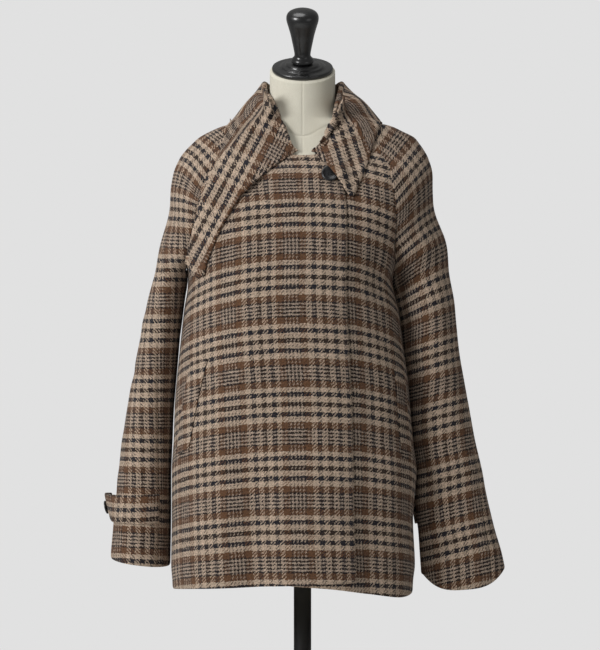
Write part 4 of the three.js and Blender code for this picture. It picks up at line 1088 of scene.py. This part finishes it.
def button(name, radius, thick, centre, axis):
    """A rimmed button with a dished face and four holes."""
    r, t = radius, thick
    profile = [(0, 0), (r * 0.62, 0), (r * 0.8, t * 0.05), (r * 0.93, t * 0.2), (r * 0.99, t * 0.42), (r, t * 0.6),
               (r * 0.98, t * 0.78), (r * 0.93, t * 0.93), (r * 0.86, t), (r * 0.79, t * 0.97),
               (r * 0.73, t * 0.86), (r * 0.68, t * 0.7), (r * 0.62, t * 0.6), (r * 0.5, t * 0.54),
               (r * 0.3, t * 0.5), (r * 0.1, t * 0.49), (0, t * 0.49)]
    piece = turned(name, profile, 72, horn, centre, axis)
    turn = Vector((0, 0, 1)).rotation_difference(Vector(axis))
    holes = []
    for k in range(4):
        angle = math.pi / 4 + k * math.pi / 2
        at = turn @ Vector((r * 0.2 * math.cos(angle), r * 0.2 * math.sin(angle), t * 0.12)) + Vector(centre)
        holes.append(turned(f"{name}_hole{k}", [(0, 0), (r * 0.085, 0), (r * 0.085, t), (0, t)], 16, horn, at, axis))
    bpy.context.view_layer.objects.active = piece
    for hole in holes:
        cut = piece.modifiers.new("hole", "BOOLEAN")
        cut.object = hole
        cut.operation = "DIFFERENCE"
        cut.solver = "EXACT"
    shown = bpy.context.evaluated_depsgraph_get()
    cut_mesh = bpy.data.meshes.new_from_object(piece.evaluated_get(shown))
    piece.modifiers.clear()
    piece.data = cut_mesh
    for hole in holes:
        bpy.data.objects.remove(hole)
    piece.data.polygons.foreach_set("use_smooth", [True] * len(piece.data.polygons))
    piece.data.set_sharp_from_angle(angle=math.radians(50))
    return piece


NECK_BUTTON = (329.8, 174.2)
neck_place = coat_behind(*NECK_BUTTON)
neck_around = [coat_behind(NECK_BUTTON[0] + r, NECK_BUTTON[1] + d) for r, d in ((-4, 0), (4, 0), (0, -4), (0, 4))]
neck_axis = unit(np.cross(neck_around[1] - neck_around[0], neck_around[2] - neck_around[3]))
neck_button = button("neck_button", 14, 4.6, neck_place + neck_axis * 0.6, neck_axis)


def room_for_button(point):
    """How much further off the coat the collar has to stay near the neck button."""
    away = point - neck_place
    beside = np.linalg.norm(away - neck_axis * (away @ neck_axis))
    return 5.2 * (1 - float(soft(beside, 16, 36)))


# ---------------------------------------------------------------- collar

# Front columns: turn at the neckline, fold (right, down, y), three places of the leaf in the front view and how
# far the leaf's edge stands off the coat
LEAF_LEFT = [
    (13, (313.5, 149.5, -67), (326.5, 163.3), (340.6, 179.4), (350.5, 194.6), 8),
    (30, (321, 142, -66), (335, 158), (347, 175), (355, 192.5), 7),
    (46, (328.5, 133, -60), (342, 149), (353, 165), (361, 178.5), 5),
    (62, (332.5, 120, -50), (346, 135), (357, 149), (367, 163), 4),
    (74, (337, 107, -36), (350, 119), (362, 131), (373, 146), 4),
]
LEAF_RIGHT = [
    (-13, (296.5, 149.5, -67), (268, 170), (243, 192), (204, 275), 4),
    (-24, (292, 144, -67), (264, 165), (236, 197), (196, 277), 4),
    (-36, (288, 137, -64), (260, 160), (230, 195), (189, 267), 4),
    (-48, (284, 129, -58), (257, 153), (226, 185), (191.5, 240), 4),
    (-60, (280, 119, -50), (254, 143), (226, 168), (198, 209), 4),
    (-70, (275.5, 108, -40), (254, 130), (232, 151), (208, 180), 4),
    (-78, (270, 97, -26), (254, 116), (238, 132), (220, 152), 4),
]
# Columns over the shoulders and back: turn, fold and three places of the leaf as x, y, z
LEAF_BACK = [
    (84, (62, -15, 1465), (95, -14, 1452), (112, -17, 1433), (126, -22, 1412)),
    (98, (66, 8, 1483), (96, 8, 1453), (114, 8, 1434), (130, 8, 1415)),
    (116, (59, 35, 1482), (84, 44, 1450), (99, 54, 1428), (112, 64, 1404)),
    (138, (46, 54, 1478), (58, 74, 1447), (68, 88, 1420), (77, 102, 1388)),
    (160, (24, 65, 1477), (31, 88, 1445), (36, 101, 1416), (40, 113, 1382)),
    (180, (0, 69, 1477), (0, 92, 1444), (0, 105, 1415), (0, 117, 1380)),
    (200, (-24, 65, 1477), (-31, 88, 1445), (-36, 101, 1416), (-40, 113, 1382)),
    (222, (-46, 54, 1478), (-57, 74, 1447), (-66, 88, 1420), (-74, 102, 1388)),
    (244, (-59, 35, 1482), (-80, 44, 1450), (-94, 54, 1428), (-106, 64, 1404)),
    (262, (-64, 8, 1483), (-88, 8, 1453), (-105, 8, 1433), (-121, 8, 1412)),
    (274, (-61, -13, 1467), (-87, -10, 1452), (-103, -14, 1431), (-117, -18, 1410)),
]
LEAF_STEPS = 8
COLLAR_THICK = 4.4
STAND_ROWS = 6


def laid(right, down, wanted, off):
    """The place of a leaf in front of the coat: as far forward as asked, and always clear of the coat."""
    hit = coat_behind(right, down)
    return seen(right, down, wanted if hit is None else min(wanted, hit[1] - off))


def stand_base(turn):
    base = body_point(turn, neckline(turn))
    angle = np.radians(turn)
    return base + np.array([-(CLOTH + 0.6) * np.sin(angle), (CLOTH + 0.6) * np.cos(angle), STAND_GAP])


def leaf_column(turn, fold, places, off):
    base = stand_base(turn)
    angle = math.radians(turn)
    away = np.array([math.sin(angle), -math.cos(angle), 0])
    top = seen(*fold) if off else np.array(fold, float)
    rise = top[2] - base[2]
    bend = min(5, rise * 0.42)
    inner = top - away * bend - np.array([0, 0, bend])
    middle = lerp(base, inner, 0.55) - away * min(3, rise * 0.05)
    outer = top + away * bend - np.array([0, 0, bend])
    if off:
        edge = coat_behind(*places[2])
        edge_y = fold[2] if edge is None else edge[1] - off
        leaf = [laid(*place, lerp(fold[2] - 4, edge_y, (k + 1) / 3), off) for k, place in enumerate(places)]
    else:
        leaf = [np.array(place, float) for place in places]
    stand = spline([base, middle, inner, top, outer], np.array([0, 1, 2, 2.5, 3, 3.5, 4]))
    fall = spline([outer, *leaf], np.arange(1, LEAF_STEPS + 1) * 3 / LEAF_STEPS)
    return np.concatenate([stand, fall])


def clear_of_coat(grid, first_row, room, passes, smoothing):
    """Smooths the leaf and pushes it off the coat, again and again."""
    for _ in range(passes):
        if smoothing:
            even = grid.copy()
            even[1:-1] += smoothing * ((grid[:-2] + grid[2:]) / 2 - grid[1:-1])
            even[:, 1:-1] += smoothing * ((grid[:, :-2] + grid[:, 2:]) / 2 - grid[:, 1:-1])
            fade = np.clip((np.arange(len(grid)) - first_row) / 4, 0, 1)[:, None, None]
            edges = np.ones(grid.shape[:2])[..., None]
            edges[-1], edges[:, 0], edges[:, -1] = 0, 0, 0
            grid = grid + (even - grid) * fade * edges
        for i in range(first_row, grid.shape[0]):
            for j in range(grid.shape[1]):
                off, way = off_cloth(coat_tree, grid[i, j])
                wanted = (room if np.isscalar(room) else room[i]) + room_for_button(grid[i, j])
                if off < wanted:
                    grid[i, j] += way * (wanted - off)
    return grid


def collar_piece():
    columns = ([(turn, fold, (a, b, c), off) for turn, fold, a, b, c, off in LEAF_LEFT]
               + [(turn, fold, (a, b, c), 0) for turn, fold, a, b, c in LEAF_BACK]
               + [(turn + 360, fold, (a, b, c), off) for turn, fold, a, b, c, off in LEAF_RIGHT[::-1]])
    keys = np.array([leaf_column(*column) for column in columns])
    turns = np.array([(column[0],) for column in columns], float)
    finer = np.linspace(0, len(keys) - 1, (len(keys) - 1) * 4 + 1)
    coarse = np.stack([spline(keys[:, i], finer) for i in range(keys.shape[1])])
    coarse[0] = [stand_base(turn) for turn in spline(turns, finer)[:, 0]]
    coarse = clear_of_coat(coarse, STAND_ROWS, CLOTH + 1.3, 3, 0.25)
    around = shares(620) * (coarse.shape[1] - 1)
    grid = np.stack([spline(row, around) for row in coarse])
    radial = shares(190, 3.4) * (len(coarse) - 1)
    grid = np.stack([spline(grid[:, j], radial) for j in range(grid.shape[1])], 1)
    first = int(np.searchsorted(radial, STAND_ROWS))
    thick = lerp(CLOTH, COLLAR_THICK, soft(radial, STAND_ROWS + 0.5, STAND_ROWS + 3))
    grid = clear_of_coat(grid, first, thick + 0.9, 4, 0.5)
    cloth = collar_cloth(grid, radial, around / (coarse.shape[1] - 1) * (len(keys) - 1))
    return sew("collar", grid, True, ("thick edge", "thick edge", "seam", "thick edge"), thick=thick, cloth=cloth,
               rim=1.3)


# The weft on the two front leaves: degrees from level in the front view, and shift along and across the bands
LEAF_WEFT = {"left": (-72, 0, 0), "right": (62, 0, 0)}


def collar_cloth(grid, radial, columns):
    """Across and along the collar's cloth: flat on the front leaves, round the neck behind."""
    right, down = in_view(grid)
    middle = int(len(radial) * 0.72)
    around = run_lengths(grid, 1)[middle]
    drop = run_lengths(grid, 0)
    drop = drop - drop[int(np.searchsorted(radial, 3.0))]
    flat = {}
    for side, (slope, shift_along, shift_across) in LEAF_WEFT.items():
        angle = math.radians(slope)
        way = SIGN[side] * -1
        flat[side] = (((down * math.sin(angle) - right * math.cos(angle)) * way * UNIT + shift_across),
                      (right * math.sin(angle) + down * math.cos(angle)) * way * UNIT + shift_along)
    j_first = int(np.searchsorted(columns, 3.6))
    j_last = int(np.searchsorted(columns, len(LEAF_LEFT) + len(LEAF_BACK) + 0.4))
    share = np.clip((np.arange(grid.shape[1]) - j_first) / (j_last - j_first), 0, 1)
    start_fade, end_fade = 1 - soft(share, 0, 0.45), soft(share, 0.55, 1)
    run = around - around[j_first]
    start, end = flat["left"][1][:, j_first], flat["right"][1][:, j_last]
    total = run[j_last]
    spare = (end[middle] - start[middle] - total + 50.5) % 101 - 50.5
    line = start[middle] + run * (total + spare) / total
    along = line[None] + (start - start[middle])[:, None] * start_fade + (end - end[middle])[:, None] * end_fade
    jump = along[middle, j_last] - end[middle]
    across = (drop + (flat["left"][0] - drop)[:, [j_first]] * start_fade
              + (flat["right"][0] - drop)[:, [j_last]] * end_fade)
    along[:, :j_first], across[:, :j_first] = flat["left"][1][:, :j_first], flat["left"][0][:, :j_first]
    along[:, j_last:], across[:, j_last:] = flat["right"][1][:, j_last:] + jump, flat["right"][0][:, j_last:]
    return np.stack([across, along], -1)


collar = collar_piece()


# ---------------------------------------------------------------- cuff straps, buttons and welts

STRAPS = {
    "right": dict(start=0.142, end=0.58, top=(16.08, 16.3), bottom=(17.5, 17.55), stand_off=17, below=0.12),
    "left": dict(start=0.54, end=0.95, top=(16.35, 16.3), bottom=(17.7, 17.65), stand_off=5, below=1),
}
STRAP_BUTTON = 0.87


def strap_point(side, u, v):
    strap = STRAPS[side]
    share = lerp(strap["start"], strap["end"], u)
    step = lerp(lerp(*strap["top"], u), lerp(*strap["bottom"], u), v)
    place = sleeve_points(side, step, share)[0]
    over = (sleeve_points(side, step, share + 0.01) - sleeve_points(side, step, share - 0.01))[0]
    down = (sleeve_points(side, step + 0.05, share) - sleeve_points(side, step - 0.05, share))[0]
    normal = unit(np.cross(over, down)) * (-1 if side == "left" else 1)
    loose = np.clip((u - 0.5) / 0.32, 0, 1) ** 2 * lerp(1, strap["below"], v)
    off = STRAP_GAP + STRAP_THICK + strap["stand_off"] * loose
    return place + normal * off


def cuff_strap(side):
    name = "cuff_strap_" + side
    u_at, v_at = shares(170, 3.0), shares(50, 3.0)
    grid = np.array([[strap_point(side, u, v) for u in u_at] for v in v_at])
    cuff_tree = faces_tree(f"sleeve_{side}_front", f"sleeve_{side}_back")
    for i in range(grid.shape[0]):
        for j in range(grid.shape[1]):
            off, way = off_cloth(cuff_tree, grid[i, j])
            if off < STRAP_THICK + 0.5:
                grid[i, j] += way * (STRAP_THICK + 0.5 - off)
    across = run_lengths(grid, 1)
    along = -run_lengths(grid, 0)
    strap = sew(name, grid, side == "left", ("edge", "edge", "edge", "edge"), thick=STRAP_THICK,
                cloth=np.stack([across, along], -1))
    at = STRAP_BUTTON
    place = strap_point(side, at, 0.5)
    over = strap_point(side, at + 0.03, 0.5) - strap_point(side, at - 0.03, 0.5)
    down = strap_point(side, at, 0.6) - strap_point(side, at, 0.4)
    axis = unit(np.cross(over, down)) * (-1 if side == "left" else 1)
    return strap, button("cuff_button_" + side, 11, 3.6, place + axis * 0.7, axis)


WELTS = {"right": ((209, 359), (189.5, 452)), "left": ((393, 368), (402, 458))}


def pocket_welt(side):
    name = "pocket_welt_" + side
    top, bottom = (on_front(*place) for place in WELTS[side])
    across_turn = math.degrees(WELT_WIDTH / 175) * SIGN[side]
    v_at, u_at = shares(150, 3.0), shares(WELT_WIDTH, 3.0)
    panel_tree = faces_tree("front_" + side)
    turn = lerp(top[0], bottom[0], v_at)[:, None] + across_turn * u_at[None]
    height = lerp(top[1], bottom[1], v_at)[:, None] - 4 * u_at[None]
    grid = body_point(turn, height, WELT_THICK)
    for i in range(grid.shape[0]):
        for j in range(grid.shape[1]):
            off, way = off_cloth(panel_tree, grid[i, j])
            grid[i, j] += way * (WELT_THICK + WELT_GAP - off)
    across, along = body_cloth("front_" + side, turn, height)
    return sew(name, grid, side == "left", ("edge", "edge", "edge", "edge"), thick=WELT_THICK,
               cloth=np.stack([across, along], -1), rim=0.6)


strap_right, cuff_button_right = cuff_strap("right")
strap_left, cuff_button_left = cuff_strap("left")
welts = [pocket_welt(side) for side in ("right", "left")]


# ---------------------------------------------------------------- dress form and stand

FORM_RINGS = [
    (735, 160, 114, 120), (800, 168, 118, 126), (860, 164, 115, 120), (940, 146, 102, 100), (1010, 126, 92, 86),
    (1080, 130, 100, 90), (1154, 135, 114, 100), (1200, 140, 118, 102), (1250, 146, 108, 101), (1300, 152, 94, 97),
    (1340, 160, 78, 91), (1360, 165, 64, 86), (1376, 167, 57, 79), (1390, 160, 52, 71), (1400, 146, 50.5, 67),
    (1410, 118, 49.5, 62), (1416, 80, 49.2, 60), (1421, 62, 49, 59), (1430, 56.5, 49, 57.5), (1445, 54, 49, 56.5),
    (1500, 53.5, 49, 56),
]
form_half, form_front, form_back = (table_curve(FORM_RINGS, k) for k in (1, 2, 3))
FORM_DROP, FORM_EASE = 3.6, 3.0
FORM_BOTTOM, NECK_TOP, NECK_TILT = 735, 1499, math.radians(25)
# Neck seam over the turn from the front, and how deep the seams lie
NECK_SEAM = table_curve([(0, 1389), (12, 1391), (30, 1401), (60, 1414), (90, 1420), (180, 1424)])
SEAM_DEPTH, SEAM_WIDTH = 0.9, 1.5


def dress_form():
    heights = np.unique(np.concatenate([np.linspace(FORM_BOTTOM, 1380, 100), np.linspace(1380, 1436, 60),
                                        np.linspace(1436, NECK_TOP, 22)]))
    close = np.array([-2.4, -1.6, -0.8, 0, 0.8, 1.6, 2.4])
    turns = np.unique(np.concatenate([np.arange(0, 360, 3.0), close % 360, close + 180]))
    height, turn = np.meshgrid(heights, turns, indexing="ij")
    angle = np.radians(turn)
    from_front = np.minimum(turn % 360, 360 - turn % 360)
    neck = soft(height - neckline_height(from_front), 2, 26)

    def room(curve):
        return curve(height + FORM_DROP) - FORM_EASE + neck * 200

    half = np.minimum(form_half(height), np.minimum(room(coat_left), room(coat_right)))
    front = np.minimum(form_front(height), room(coat_front))
    behind = np.minimum(form_back(height), room(coat_back))
    power = lerp(ROUND_POWER, 2, soft(height, 1400, 1440))
    radius = ring_radius(angle, half, half, front, behind, power)
    seam = np.exp(-((height - NECK_SEAM(from_front)) / SEAM_WIDTH) ** 2)
    middle = np.exp(-(radius * np.minimum(angle % (2 * math.pi), 2 * math.pi - angle % (2 * math.pi)) / 1.3) ** 2)
    behind_seam = np.exp(-(radius * (angle - math.pi) / 1.3) ** 2)
    radius = radius - SEAM_DEPTH * np.maximum(seam, 0.6 * np.maximum(middle, behind_seam))
    grid = np.stack([radius * np.sin(angle), -radius * np.cos(angle), height], -1)
    grid[..., 2] += grid[..., 1] * math.tan(NECK_TILT) * soft(height, 1428, NECK_TOP)
    rows, columns = grid.shape[:2]
    points = np.concatenate([grid.reshape(-1, 3), [[0, 0, FORM_BOTTOM]],
                             [[0, 3.5, NECK_TOP + 3.5 * math.tan(NECK_TILT)]]])
    faces = []
    for i in range(rows - 1):
        for j in range(columns):
            k = (j + 1) % columns
            faces.append((i * columns + j, i * columns + k, (i + 1) * columns + k, (i + 1) * columns + j))
    for j in range(columns):
        k = (j + 1) % columns
        faces.append((rows * columns, k, j))
        faces.append((rows * columns + 1, (rows - 1) * columns + j, (rows - 1) * columns + k))
    round_neck = np.radians(turn) * 100
    uv = np.concatenate([np.stack([round_neck, height], -1).reshape(-1, 2), [[0, 0]], [[0, NECK_TOP]]])
    return mesh_object("form", points, faces, canvas, uv)


form = dress_form()
neck_way = np.array([0, -math.sin(NECK_TILT), math.cos(NECK_TILT)])
neck_end = np.array([0, 3.5, NECK_TOP + 3.5 * math.tan(NECK_TILT)]) + neck_way * SEAM_GAP
CAP_PROFILE = [(0, 0), (48.4, 0), (49.4, 0.3), (50, 1.2), (50.1, 3), (50, 5), (49.4, 6.2), (48.2, 6.6), (42, 6.7),
               (36.5, 6.9), (35.6, 7.6), (35.2, 9), (34.4, 9.5), (31, 9.7), (28.4, 9.9), (27.6, 10.6), (27.2, 12),
               (26.6, 12.5), (0, 12.5)]
KNOB_PROFILE = [(0, 0), (13, 0), (15.4, 0.4), (18, 2.4), (18.5, 4.6), (17.6, 7.6), (14.6, 10.8), (13.3, 13.6),
                (13.4, 18), (15.0, 27), (17.2, 38), (19.7, 50), (23, 62), (25.6, 71), (26.5, 77), (25.6, 82.4),
                (22.4, 86.8), (16, 90.2), (8, 92), (0, 92.4)]
neck_cap = turned("neck_cap", CAP_PROFILE, 96, lacquer, neck_end, neck_way)
knob = turned("knob", KNOB_PROFILE[:3] + smooth_profile(KNOB_PROFILE[2:], 4)[1:], 80, lacquer,
              neck_end + neck_way * (12.5 + SEAM_GAP), neck_way)
POST_TOP = FORM_BOTTOM - SEAM_GAP
post = turned("post", [(0, 12.3), (29, 12.3), (30, 13.3), (30, 25), (29.2, 27.4), (27, 29.4), (22, 31), (16.5, 32),
                       (14.4, 33.5), (14.3, 36), (14.3, POST_TOP), (0, POST_TOP)], 72, steel, (0, 0, 0), (0, 0, 1))
base_plate = turned("base_plate", [(0, 0), (168.6, 0), (169.6, 0.5), (170, 1.6), (170, 8.6), (169.4, 10.4),
                                   (168, 11.6), (166, 12), (0, 12)], 128, steel, (0, 0, 0), (0, 0, 1))


# ---------------------------------------------------------------- camera, lights and floor

def area_light(name, place, aim, size, watts):
    light = bpy.data.lights.new(name, "AREA")
    light.shape = "DISK"
    light.size = size
    light.energy = watts
    lamp = bpy.data.objects.new(name, light)
    lamp.location = place
    lamp.rotation_euler = (Vector(aim) - Vector(place)).to_track_quat("-Z", "Y").to_euler()
    bpy.context.collection.objects.link(lamp)


camera_data = bpy.data.cameras.new("camera")
camera_data.sensor_width = 36
camera_data.lens = 36 * 4.2 / (650 * UNIT * MM)
camera = bpy.data.objects.new("camera", camera_data)
camera.location = EYE * MM
camera.rotation_euler = (math.pi / 2, 0, 0)
bpy.context.collection.objects.link(camera)
bpy.context.scene.camera = camera
bpy.context.scene.view_settings.view_transform = "Standard"

area_light("key", (-2.9, -2.5, 2.5), (0, 0, 1.1), 1.7, 118)
area_light("fill", (2.6, -2.8, 1.6), (0, 0, 1.0), 2.2, 8)
area_light("top", (-0.5, -0.4, 3.6), (0, 0, 1.0), 1.6, 20)

world = bpy.data.worlds.new("studio")
bpy.context.scene.world = world
world.use_nodes = True
seen_wall = world.node_tree.nodes["Background"]
seen_wall.inputs["Color"].default_value = colour(225, 225, 225)
seen_wall.inputs["Strength"].default_value = 1.0
room_light = world.node_tree.nodes.new("ShaderNodeBackground")
room_light.inputs["Color"].default_value = colour(229, 229, 227)
room_light.inputs["Strength"].default_value = 0.28
path = world.node_tree.nodes.new("ShaderNodeLightPath")
pick = world.node_tree.nodes.new("ShaderNodeMixShader")
world.node_tree.links.new(path.outputs["Is Camera Ray"], pick.inputs[0])
world.node_tree.links.new(room_light.outputs[0], pick.inputs[1])
world.node_tree.links.new(seen_wall.outputs[0], pick.inputs[2])
world.node_tree.links.new(pick.outputs[0], world.node_tree.nodes["World Output"].inputs["Surface"])

# A round floor that fades out at its rim
floor_material, floor_tree, floor_shader = new_material("pale_floor", 0.9, Specular_IOR_Level=0.1)
floor_place = floor_tree.nodes.new("ShaderNodeTexCoord").outputs["Object"]
floor_grain = speckle(floor_tree, floor_place, 3, 2)
feed(floor_tree, floor_shader.inputs["Base Color"],
     blend(floor_tree, floor_grain, colour(226, 226, 224), colour(232, 232, 230)))
reach = floor_tree.nodes.new("ShaderNodeVectorMath")
reach.operation = "LENGTH"
feed(floor_tree, reach.inputs[0], floor_place)
feed(floor_tree, floor_shader.inputs["Alpha"], spread(floor_tree, reach.outputs["Value"], 1.2, 2.4, 1.0, 0.0))
floor = turned("floor", [(0, -4), (2400, -4), (2400, 0), (0, 0)], 96, floor_material, (0, 0, -0.2), (0, 0, 1))


# ---------------------------------------------------------------- bodies: each piece hangs on the root body, and its imported part is hidden

SLOTS = {"coat_cloth": [*coat, collar, strap_right, strap_left, *welts],
         "button_black": [neck_button, cuff_button_right, cuff_button_left],
         "form_cloth": [form], "lacquered_wood": [neck_cap, knob], "stand_metal": [post, base_plate]}
for slot_name, pieces in SLOTS.items():
    for piece in pieces:
        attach(piece, "root")
        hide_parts(node_of[piece])
